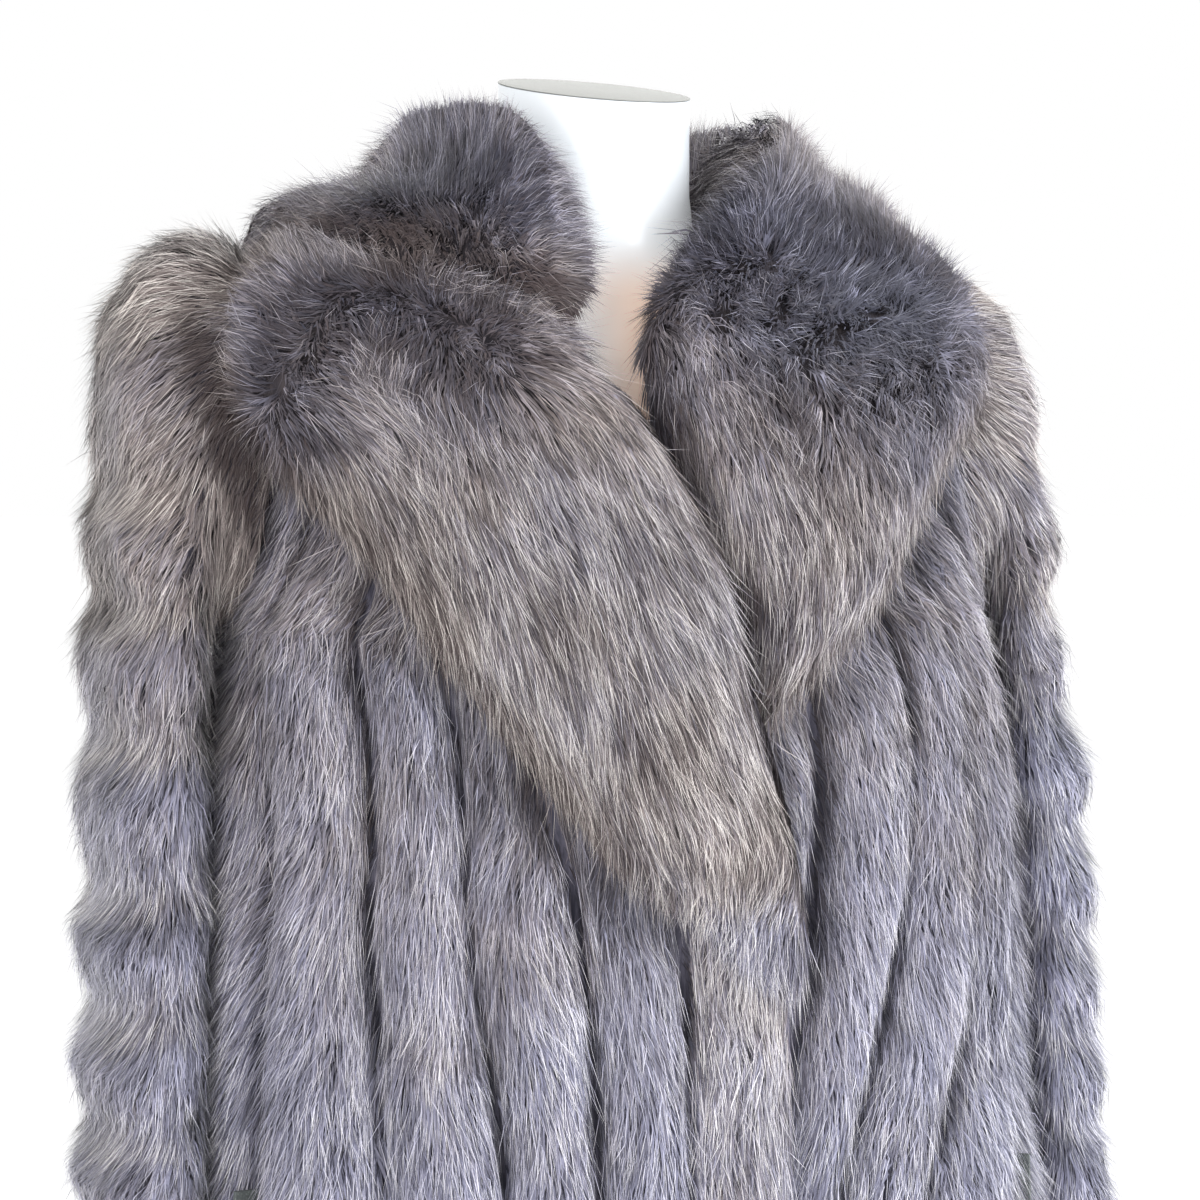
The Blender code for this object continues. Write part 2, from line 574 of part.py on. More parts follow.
def pressed_fur(turn, height, fur, right_front=False):
    # The collar, the sleeves and the hem press or round off the fur.
    fur = fur + (PRESSED - fur) * covered(turn, height, right_front)
    under_arm = ease((0.30 - from_side_seam(turn)) / 0.20) * ease((height - UNDERARM + 0.08) / 0.04)
    fur = fur + (np.minimum(fur, UNDERARM_FUR) - fur) * under_arm
    hem = ease((HEM + HEM_ROUND - height) / HEM_ROUND)
    return fur + (EDGE - fur) * hem


def seam_limit(points, edge):
    # The most fur a sewn edge allows: it rises slowly with the distance from that edge.
    return SEAM + SEAM_SLOPE * np.linalg.norm(points - points[:, edge:edge + 1 or None], axis=-1)


def make_fronts(look):
    for name, side in (("front_right", -1.0), ("front_left", 1.0)):
        turn, height, fur = front_panel(side)
        fur = pressed_fur(turn, height, fur, right_front=side < 0)
        columns = turn.shape[1]
        fur = np.minimum(fur, seam_limit(lining(turn, height), -1))
        fur[0] = np.minimum(fur[0], SEAM)
        if side < 0:
            fur = fur + (EDGE - fur) * ease(1.0 - np.arange(columns) / 2.0)
            base = lap_lift(turn, height)
        else:
            fur = fur + (LAPPED - fur) * lapped_over(turn, height)
            base = np.zeros_like(fur)
        outer = standing(turn, height, base + fur)
        # The lining side is plain, but follows the lap closely beside the front edge.
        keep = np.append(np.arange(STRIP_CUTS), np.arange(STRIP_CUTS, columns, STRIP_CUTS))
        inner = standing(turn[:, keep], height[:, keep], base[:, keep])
        add_wall(name, outer, inner, look)


def make_back(look):
    turn, height, fur = back_panel()
    fur = pressed_fur(turn, height, fur)
    columns = turn.shape[1]
    places = lining(turn, height)
    fur = np.minimum(fur, np.minimum(seam_limit(places, 0), seam_limit(places, -1)))
    fur[0] = np.minimum(fur[0], SEAM)
    outer = standing(turn, height, fur)
    keep = np.arange(0, columns, STRIP_CUTS)
    inner = standing(turn[:, keep], height[:, keep], np.zeros((len(turn), len(keep))))
    add_wall("back", outer, inner, look)


# ---- the collar ----

def collar_section(count):
    # Places across the collar and shares of its height: the upper side, then the underside.
    angle = np.linspace(0.0, math.pi, count)
    across = 0.5 - 0.5 * np.cos(angle)
    rise = np.sin(angle) ** COLLAR_ROUNDNESS
    return across, rise


def beside_sleeves(points, foot):
    # Presses the collar's sides in where the head of a sleeve stands beside them.
    side = np.sign(foot[..., 0])
    start = np.abs(foot[..., 0])
    bulge = np.maximum(points[..., 0] * side - start, 0.0)
    room = np.maximum(SLEEVE_SIDE - start, 0.001)
    held = start + room * np.tanh(bulge / room)
    near = ease((points[..., 1] + SLEEVE_FRONT) / EDGE_FADE) * (bulge > 0)
    moved = points.copy()
    moved[..., 0] += (held * side - points[..., 0]) * near
    return moved


def make_collar(look):
    first, last = COLLAR_TABLE[0][0], COLLAR_TABLE[-1][0]
    limits = (first, FOLD_PLACE + FOLD_SPAN[0], FOLD_PLACE + FOLD_SPAN[1], last)
    spans = zip(limits[:-1], limits[1:], COLLAR_STATIONS)
    along = np.concatenate([np.linspace(a, b, count, endpoint=False) for a, b, count in spans])
    along = np.append(along, limits[-1])
    found = through(COLLAR_TABLE, along)
    inner_turn, inner_height, outer_turn, outer_height, plump, stand, lean = found
    across, rise = collar_section(OVER_CUTS + 1)
    under = np.linspace(1.0, 0.0, UNDER_CUTS + 1)[1:-1]
    place = np.concatenate([across, under])[None, :]
    turn = inner_turn[:, None] + (outer_turn - inner_turn)[:, None] * place
    height = inner_height[:, None] + (outer_height - inner_height)[:, None] * place
    top = np.concatenate([rise, np.zeros(len(under))])[None, :]
    beside_neck = ease(1.15 - place / NECK_SPAN)
    tall = plump[:, None] + COLLAR_STAND * stand[:, None] * beside_neck
    on_right = along[:, None] < 1.0
    rest = PRESSED + COLLAR_GAP + np.where(on_right, lap_lift(turn, height), 0.0)
    beside_arm = ease(1.5 - from_side_seam(turn) / 0.15) * ease((height - SHOULDER_TIP + 0.08) / 0.03)
    rest = rest + SHOULDER_LIFT * beside_arm
    # The right lapel lies over the left one, whose fur it presses flat.
    tucked = np.where(on_right, 0.0, lapped_over(turn, height))
    tall = tall + (np.minimum(tall, TUCKED) - tall) * tucked
    rest = rest + (LAPPED - PRESSED) * tucked
    from_fold = along[:, None] - FOLD_PLACE - FOLD_SLANT * place
    fold = FOLD_DEPTH * np.exp(-(from_fold / FOLD_WIDTH) ** 2) * (1.0 - 0.7 * place)
    out = rest + tall * top * (1.0 - fold)
    direction = normal(turn, height)
    direction[..., 2] += lean[:, None] * (1.0 - place) * COLLAR_LEAN
    direction = direction / np.linalg.norm(direction, axis=-1, keepdims=True)
    foot = standing(turn, height, rest)
    rings = foot + direction * (out - rest)[..., None]
    add_loft("collar", beside_sleeves(rings, foot), look)


# ---- the sleeves ----

def sleeve_lining(along, around, side):
    # A ring is an oval from its outer point to the point next to the body. Around is 0 outside,
    # then runs over the front, the body's side and the back.
    found = through(SLEEVE_RINGS, along)
    outer_x, outer_z, inner_x, inner_z, middle_y, half_depth, left_in = found
    if side > 0:
        outer_x = outer_x - left_in
        outer_z = outer_z - left_in * LEFT_SLEEVE_DROP
    x = (outer_x + inner_x) / 2 + (outer_x - inner_x) / 2 * np.cos(around)
    z = (outer_z + inner_z) / 2 + (outer_z - inner_z) / 2 * np.cos(around)
    y = middle_y - half_depth * np.sin(around)
    aside = through(LINING_SECTIONS, (outer_z + inner_z) / 2)[-1]
    return np.stack(np.broadcast_arrays(side * x + aside, y, z), axis=-1)


def armhole_ring(around, side, out):
    # The first ring, just inside the armhole's edge and standing off the lining as it does.
    middle = (SHOULDER_TIP + UNDERARM) / 2
    reach = (SHOULDER_TIP - UNDERARM) / 2 - ARMHOLE_GAP
    height = middle + reach * np.cos(around)
    ahead = np.sin(around) >= 0
    turn = 1.0 + np.where(ahead, -1.0, 1.0) * armhole_turn(height, ahead, ARMHOLE_GAP)
    return standing(side * turn, height, out)


def sleeve_fur(along, around):
    # Tiers of fur: full above each seam and low in it, full outside and pressed by the body.
    tiers = np.asarray(SLEEVE_TIERS)
    place = np.interp(along, tiers, np.arange(len(tiers)))
    within = place - np.floor(place)
    ridge = np.abs(np.sin(math.pi * within ** TIER_OVERHANG)) ** RIDGE_POWER
    uneven = 1.0 + TIER_UNEVEN * np.sin(2.1 * np.floor(place) + 1.3 * np.cos(around))
    full = TIER_GROOVE + (TIER_CREST - TIER_GROOVE) * ridge * uneven
    by_body = ease((-np.cos(around) - 0.05) / 0.8)
    fur = full + (SLEEVE_PRESSED - full) * by_body
    # Beside the armhole it grows slowly, most of all in front where the collar lies over it.
    ahead = np.clip(np.sin(around), 0.0, 1.0)
    on_top = np.clip(np.cos(around), 0.0, 1.0) ** 2 * (1.0 - ahead) ** 2
    under_collar = ease((np.sin(around + 0.45) - 0.35) / 0.5)
    slope = 0.3 + 0.7 * on_top - 0.2 * under_collar
    late = 0.020 + 0.032 * under_collar
    fur = np.minimum(fur, SEAM + slope * along + np.clip(along - late, 0.0, 1.0))
    cuff = ease((along - SLEEVE_TIERS[-1] + CUFF_ROUND) / CUFF_ROUND)
    return fur + (np.minimum(fur, EDGE) - fur) * cuff


def make_sleeves(look):
    count = 2 * ARMHOLE_ROWS
    around = np.arange(count) * 2 * math.pi / count
    cuts = np.arange(TIER_CUTS) / TIER_CUTS
    tiers = np.asarray(SLEEVE_TIERS)
    along = (tiers[:-1, None] + np.diff(tiers)[:, None] * cuts).ravel()
    along = np.append(along, tiers[-1])
    plain = along[::2]
    for name, side in (("sleeve_right", -1.0), ("sleeve_left", 1.0)):
        step, turn_step = 0.003, 0.03
        here, ring = along[:, None], around[None, :]
        down = sleeve_lining(here + step, ring, side) - sleeve_lining(here - step, ring, side)
        turning = sleeve_lining(here, ring + turn_step, side)
        turning = turning - sleeve_lining(here, ring - turn_step, side)
        facing = np.cross(turning, down) * side
        facing = facing / np.linalg.norm(facing, axis=-1, keepdims=True)
        fur = sleeve_fur(here, ring)
        outer = sleeve_lining(here, ring, side) + facing * fur[..., None]
        outer[0] = armhole_ring(around, side, SEAM)
        inner = sleeve_lining(plain[:, None], ring, side)
        inner[0] = armhole_ring(around, side, 0.0)
        add_tube(name, outer, inner, look)


# ---- the pocket welts ----

def make_welts(look):
    # A plain leather lip that stands in the strip seam at each hip, from the panel's own places.
    levels = np.linspace(POCKET_TOP, POCKET_TOP - POCKET_LENGTH, 9)
    half_turn = POCKET_THICKNESS / 2 / QUARTER_LENGTH
    for name, side in (("pocket_welt_right", -1.0), ("pocket_welt_left", 1.0)):
        middle = through(RIGHT_STRIPS if side < 0 else LEFT_STRIPS, levels)[-1]
        middle = middle + side * wander(levels[:, None], FRONT_STRIP_COUNT + 1, FRONT_WANDER)[:, -2]
        sides = np.array([-half_turn, half_turn])
        turn = middle[:, None] + sides
        height = np.repeat(levels[:, None], 2, axis=1)
        outer = standing(turn, height, np.full(turn.shape, POCKET_STAND))
        inner = standing(turn, height, np.full(turn.shape, POCKET_FOOT))
        add_wall(name, outer, inner, look)


# ---- the dress form ----

def form_ring(half_width, front, back, height):
    angle = np.arange(FORM_SIDES) * 2 * math.pi / FORM_SIDES
    deep = np.where(np.cos(angle) > 0, front, back)
    ring = np.stack([half_width * np.sin(angle), -deep * np.cos(angle), 0 * angle + height], -1)
    return ring


def tilted(ring, middle_height):
    # The neck's top leans forward and to the wearer's left.
    rise = ring[:, 1] * math.tan(CAP_FORWARD) - ring[:, 0] * math.tan(CAP_ASIDE)
    ring = ring.copy()
    ring[:, 2] = middle_height + rise
    return ring


def make_form(look, metal, cap_look):
    levels = np.concatenate([
        np.linspace(FORM_SECTIONS[0][0], 1.30, 14),
        np.linspace(1.318, NECK_FOOT, 8),
    ])
    rings = [form_ring(*[float(v) for v in through(FORM_SECTIONS, z)], z) for z in levels]
    tilt = math.hypot(math.tan(CAP_FORWARD), math.tan(CAP_ASIDE))
    neck_top = NECK_TOP - CAP_THICKNESS - CAP_BEVEL - CAP_RADIUS * tilt
    for share in (0.5, 1.0):
        middle = NECK_FOOT + (neck_top - NECK_FOOT) * share
        plain = form_ring(*[float(v) for v in through(FORM_SECTIONS, middle)], middle)
        rings.append(tilted(plain, middle) * share + plain * (1 - share))
    add_loft("form_torso", np.array(rings), look)

    wide = form_ring(CAP_RADIUS, CAP_RADIUS, CAP_RADIUS, 0.0)
    narrow = form_ring(*[CAP_RADIUS - CAP_BEVEL] * 3, 0.0)
    lower = tilted(wide, neck_top + SEAM_GAP)
    shown = tilted(wide, neck_top + CAP_THICKNESS)
    bevel = tilted(narrow, neck_top + CAP_THICKNESS + CAP_BEVEL)
    add_loft("form_neck_cap", np.array([lower, shown, bevel]), cap_look)

    bpy.ops.mesh.primitive_cylinder_add(
        vertices=24, radius=POLE_RADIUS, depth=FORM_FLOOR - BASE_THICKNESS - 2 * SEAM_GAP,
        location=(0.0, 0.0, (FORM_FLOOR + BASE_THICKNESS) / 2),
    )
    take_over("form_pole", metal)
    bpy.ops.mesh.primitive_cylinder_add(
        vertices=64, radius=BASE_RADIUS, depth=BASE_THICKNESS,
        location=(0.0, 0.0, BASE_THICKNESS / 2),
    )
    base = take_over("form_base", metal)
    rounding = base.modifiers.new("rounded_rim", "BEVEL")
    rounding.width = RIM_BEVEL
    rounding.segments = 2
    rounding.limit_method = "ANGLE"


def take_over(name, look):
    # Names the primitive that was just added and moves it to the coat's collection.
    made = bpy.context.active_object
    made.name = name
    made.data.name = name
    made.data.materials.append(look)
    made.data.shade_smooth()
    made.data.set_sharp_from_angle(angle=math.radians(40))
    for collection in made.users_collection:
        collection.objects.unlink(made)
    COAT.objects.link(made)
    return made


for old in list(bpy.data.objects):
    bpy.data.objects.remove(old, do_unlink=True)
COAT = bpy.data.collections.new("fur_coat")
bpy.context.scene.collection.children.link(COAT)

body_look = material("strip_fur", FUR, 0.75)
make_fronts(body_look)
make_back(body_look)
make_collar(material("collar_fur", COLLAR_FUR, 0.75))
make_sleeves(material("sleeve_fur", FUR, 0.75))
make_welts(material("welt_leather", (0.16, 0.18, 0.17), 0.6))
make_form(
    material("form_gloss_white", (0.82, 0.84, 0.86), 0.18),
    material("stand_steel", (0.55, 0.56, 0.58), 0.3, 1.0),
    material("cap_satin", (0.72, 0.72, 0.70), 0.4),
)
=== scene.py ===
import math

import bpy
import numpy as np
from mathutils import Matrix


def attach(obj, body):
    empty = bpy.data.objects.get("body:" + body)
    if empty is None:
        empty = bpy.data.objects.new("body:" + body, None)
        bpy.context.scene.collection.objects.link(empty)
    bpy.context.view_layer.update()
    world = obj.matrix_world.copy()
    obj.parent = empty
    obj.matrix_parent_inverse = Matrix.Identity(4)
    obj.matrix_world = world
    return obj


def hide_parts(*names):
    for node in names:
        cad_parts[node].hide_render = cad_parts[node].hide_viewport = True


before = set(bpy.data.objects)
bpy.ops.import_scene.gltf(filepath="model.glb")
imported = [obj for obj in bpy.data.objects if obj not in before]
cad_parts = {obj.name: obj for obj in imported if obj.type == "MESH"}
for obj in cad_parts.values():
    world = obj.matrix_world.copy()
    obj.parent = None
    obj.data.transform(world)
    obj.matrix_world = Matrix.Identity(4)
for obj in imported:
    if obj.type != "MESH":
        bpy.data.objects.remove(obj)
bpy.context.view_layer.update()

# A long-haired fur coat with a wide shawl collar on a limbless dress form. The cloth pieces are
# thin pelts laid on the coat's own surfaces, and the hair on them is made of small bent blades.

scene = bpy.context.scene


# short ways to make materials

def newLook(name, rough, specular):
    # A material with its own Principled shader: the material, its node tree and the shader.
    look = bpy.data.materials.new(name)
    look.use_nodes = True
    shader = look.node_tree.nodes["Principled BSDF"]
    shader.inputs["Roughness"].default_value = rough
    shader.inputs["Specular IOR Level"].default_value = specular
    return look, look.node_tree, shader


def mixColours(tree, factor, first, second, mode="MIX"):
    # A colour mix whose inputs may be sockets or plain colours.
    mix = tree.nodes.new("ShaderNodeMix")
    mix.data_type = "RGBA"
    mix.blend_type = mode
    for key, value in (("Factor", factor), ("A", first), ("B", second)):
        kind = "VALUE" if key == "Factor" else "RGBA"
        socket = next(s for s in mix.inputs if s.name == key and s.type == kind and s.enabled)
        if isinstance(value, (tuple, float)):
            socket.default_value = (*value, 1.0) if isinstance(value, tuple) else value
        else:
            tree.links.new(value, socket)
    return next(s for s in mix.outputs if s.enabled and s.type == "RGBA")


def ramp(tree, value, low, high, start=0.0, end=1.0):
    # A smooth map of a value's range to another range.
    node = tree.nodes.new("ShaderNodeMapRange")
    node.interpolation_type = "SMOOTHSTEP"
    for key, number in (("From Min", low), ("From Max", high), ("To Min", start), ("To Max", end)):
        node.inputs[key].default_value = number
    tree.links.new(value, node.inputs["Value"])
    return node.outputs["Result"]


def noiseAt(tree, scale, detail=2.0, stretch=(1.0, 1.0, 1.0)):
    # Noise in the object's own metres, stretched along the axes.
    mapping = tree.nodes.new("ShaderNodeMapping")
    mapping.inputs["Scale"].default_value = stretch
    tree.links.new(objectPlace(tree), mapping.inputs["Vector"])
    noise = tree.nodes.new("ShaderNodeTexNoise")
    noise.inputs["Scale"].default_value = scale
    noise.inputs["Detail"].default_value = detail
    tree.links.new(mapping.outputs["Vector"], noise.inputs["Vector"])
    return noise.outputs["Fac"]


def calc(tree, operation, *values):
    # A Math node whose inputs may be sockets or numbers.
    node = tree.nodes.new("ShaderNodeMath")
    node.operation = operation
    for socket, value in zip(node.inputs, values):
        if isinstance(value, float):
            socket.default_value = value
        else:
            tree.links.new(value, socket)
    return node.outputs[0]


def objectPlace(tree):
    # The place on the surface in the object's own metres.
    return tree.nodes.new("ShaderNodeTexCoord").outputs["Object"]


def painted(tree, shader, colour, rough=None):
    # Links the colour and, where given, the roughness to the shader.
    tree.links.new(colour, shader.inputs["Base Color"])
    if rough:
        tree.links.new(rough, shader.inputs["Roughness"])


def addBump(tree, shader, height, strength, distance, invert=False):
    # Bump from a height socket on the shader's normal.
    bump = tree.nodes.new("ShaderNodeBump")
    bump.invert = invert
    bump.inputs["Strength"].default_value = strength
    bump.inputs["Distance"].default_value = distance
    tree.links.new(height, bump.inputs["Height"])
    tree.links.new(bump.outputs["Normal"], shader.inputs["Normal"])


# camera, stage and lights

def unit(vectors):
    # Each vector over its own length.
    return vectors / np.maximum(np.linalg.norm(vectors, axis=-1, keepdims=True), 1e-9)


view = {
    "azimuth": math.radians(-17), "elevation": math.radians(3),
    "distance": 2.2, "span": 0.684, "height": 1.18, "aside": 0.0034,
}


def stood(data, name, right, up, back, place):
    # An object with the given axes and place, which looks against its back direction.
    made = bpy.data.objects.new(name, data)
    scene.collection.objects.link(made)
    rows = [[right[i], up[i], back[i], place[i]] for i in range(3)]
    made.matrix_world = Matrix(rows + [[0.0, 0.0, 0.0, 1.0]])
    return made


def makeCamera():
    # Back from a point of the coat's middle line along one direction, level with the horizon.
    a, e = view["azimuth"], view["elevation"]
    back = np.array([math.sin(a) * math.cos(e), -math.cos(a) * math.cos(e), math.sin(e)])
    right = np.array([math.cos(a), math.sin(a), 0.0])
    up = np.cross(back, right)
    place = np.array([0.0, 0.0, view["height"]]) + right * view["aside"] + back * view["distance"]
    data = bpy.data.cameras.new("camera")
    data.sensor_width = 36.0
    data.lens = data.sensor_width * view["distance"] / view["span"]
    scene.camera = stood(data, "camera", right, up, back, place)


def makeLight(name, place, size, power, tint=(1.0, 1.0, 1.0)):
    # A square soft light that faces the coat's chest, at the aim's height on the middle line.
    aim = np.array([0.0, 0.0, 1.1])
    data = bpy.data.lights.new(name, "AREA")
    data.energy = power
    data.size = size
    data.color = tint
    back = unit(np.array(place) - aim)
    right = unit(np.cross([0.0, 0.0, 1.0], back))
    stood(data, name, right, np.cross(back, right), back, place)


def makeStage():
    # A round pale floor, wide enough that its edge is lost in the white around it.
    sides = 96
    angle = np.linspace(0.0, 2 * math.pi, sides, endpoint=False)
    radii = np.array([0.5, 1.0, 2.0, 4.0, 8.0, 16.0, 40.0])
    ring = np.stack([np.cos(angle), np.sin(angle), 0 * angle], axis=-1)
    points = np.concatenate([[[0.0, 0.0, 0.0]], (radii[:, None, None] * ring).reshape(-1, 3)])
    ids = 1 + np.arange(len(radii) * sides).reshape(len(radii), sides)
    after = np.roll(ids, -1, axis=1)
    quads = np.stack([ids[:-1], ids[1:], after[1:], after[:-1]], axis=-1).reshape(-1, 4)
    fan = [[0, int(a), int(b)] for a, b in zip(ids[0], after[0])]
    mesh = bpy.data.meshes.new("floor")
    mesh.from_pydata(points.tolist(), [], fan + quads.tolist())
    floor = bpy.data.objects.new("floor", mesh)
    scene.collection.objects.link(floor)
    paint, tree, shader = newLook("floor_paint", 0.9, 0.0)
    clouds = noiseAt(tree, 1.5)
    painted(tree, shader, mixColours(tree, clouds, (0.93, 0.93, 0.93), (0.96, 0.96, 0.96)))
    shader.inputs["Emission Color"].default_value = (1.0, 1.0, 1.0, 1.0)
    shader.inputs["Emission Strength"].default_value = 0.10
    mesh.materials.append(paint)


def makeSky():
    # Even white light from all round.
    world = bpy.data.worlds.new("world")
    scene.world = world
    world.use_nodes = True
    sky = world.node_tree.nodes["Background"]
    sky.inputs["Color"].default_value = (1.0, 1.0, 1.0, 1.0)
    sky.inputs["Strength"].default_value = 1.0


makeCamera()
makeStage()
makeSky()
makeLight("key", (2.2, -2.3, 2.3), 1.8, 128.0, (0.95, 0.965, 1.0))
makeLight("fill", (-2.2, -2.2, 2.0), 1.9, 60.0, (1.0, 0.975, 0.955))
makeLight("rim", (0.6, 2.4, 2.6), 1.6, 26.0)
scene.view_settings.view_transform = "Standard"
print("stage ready")


# the coat's cut, in metres, turns and shares

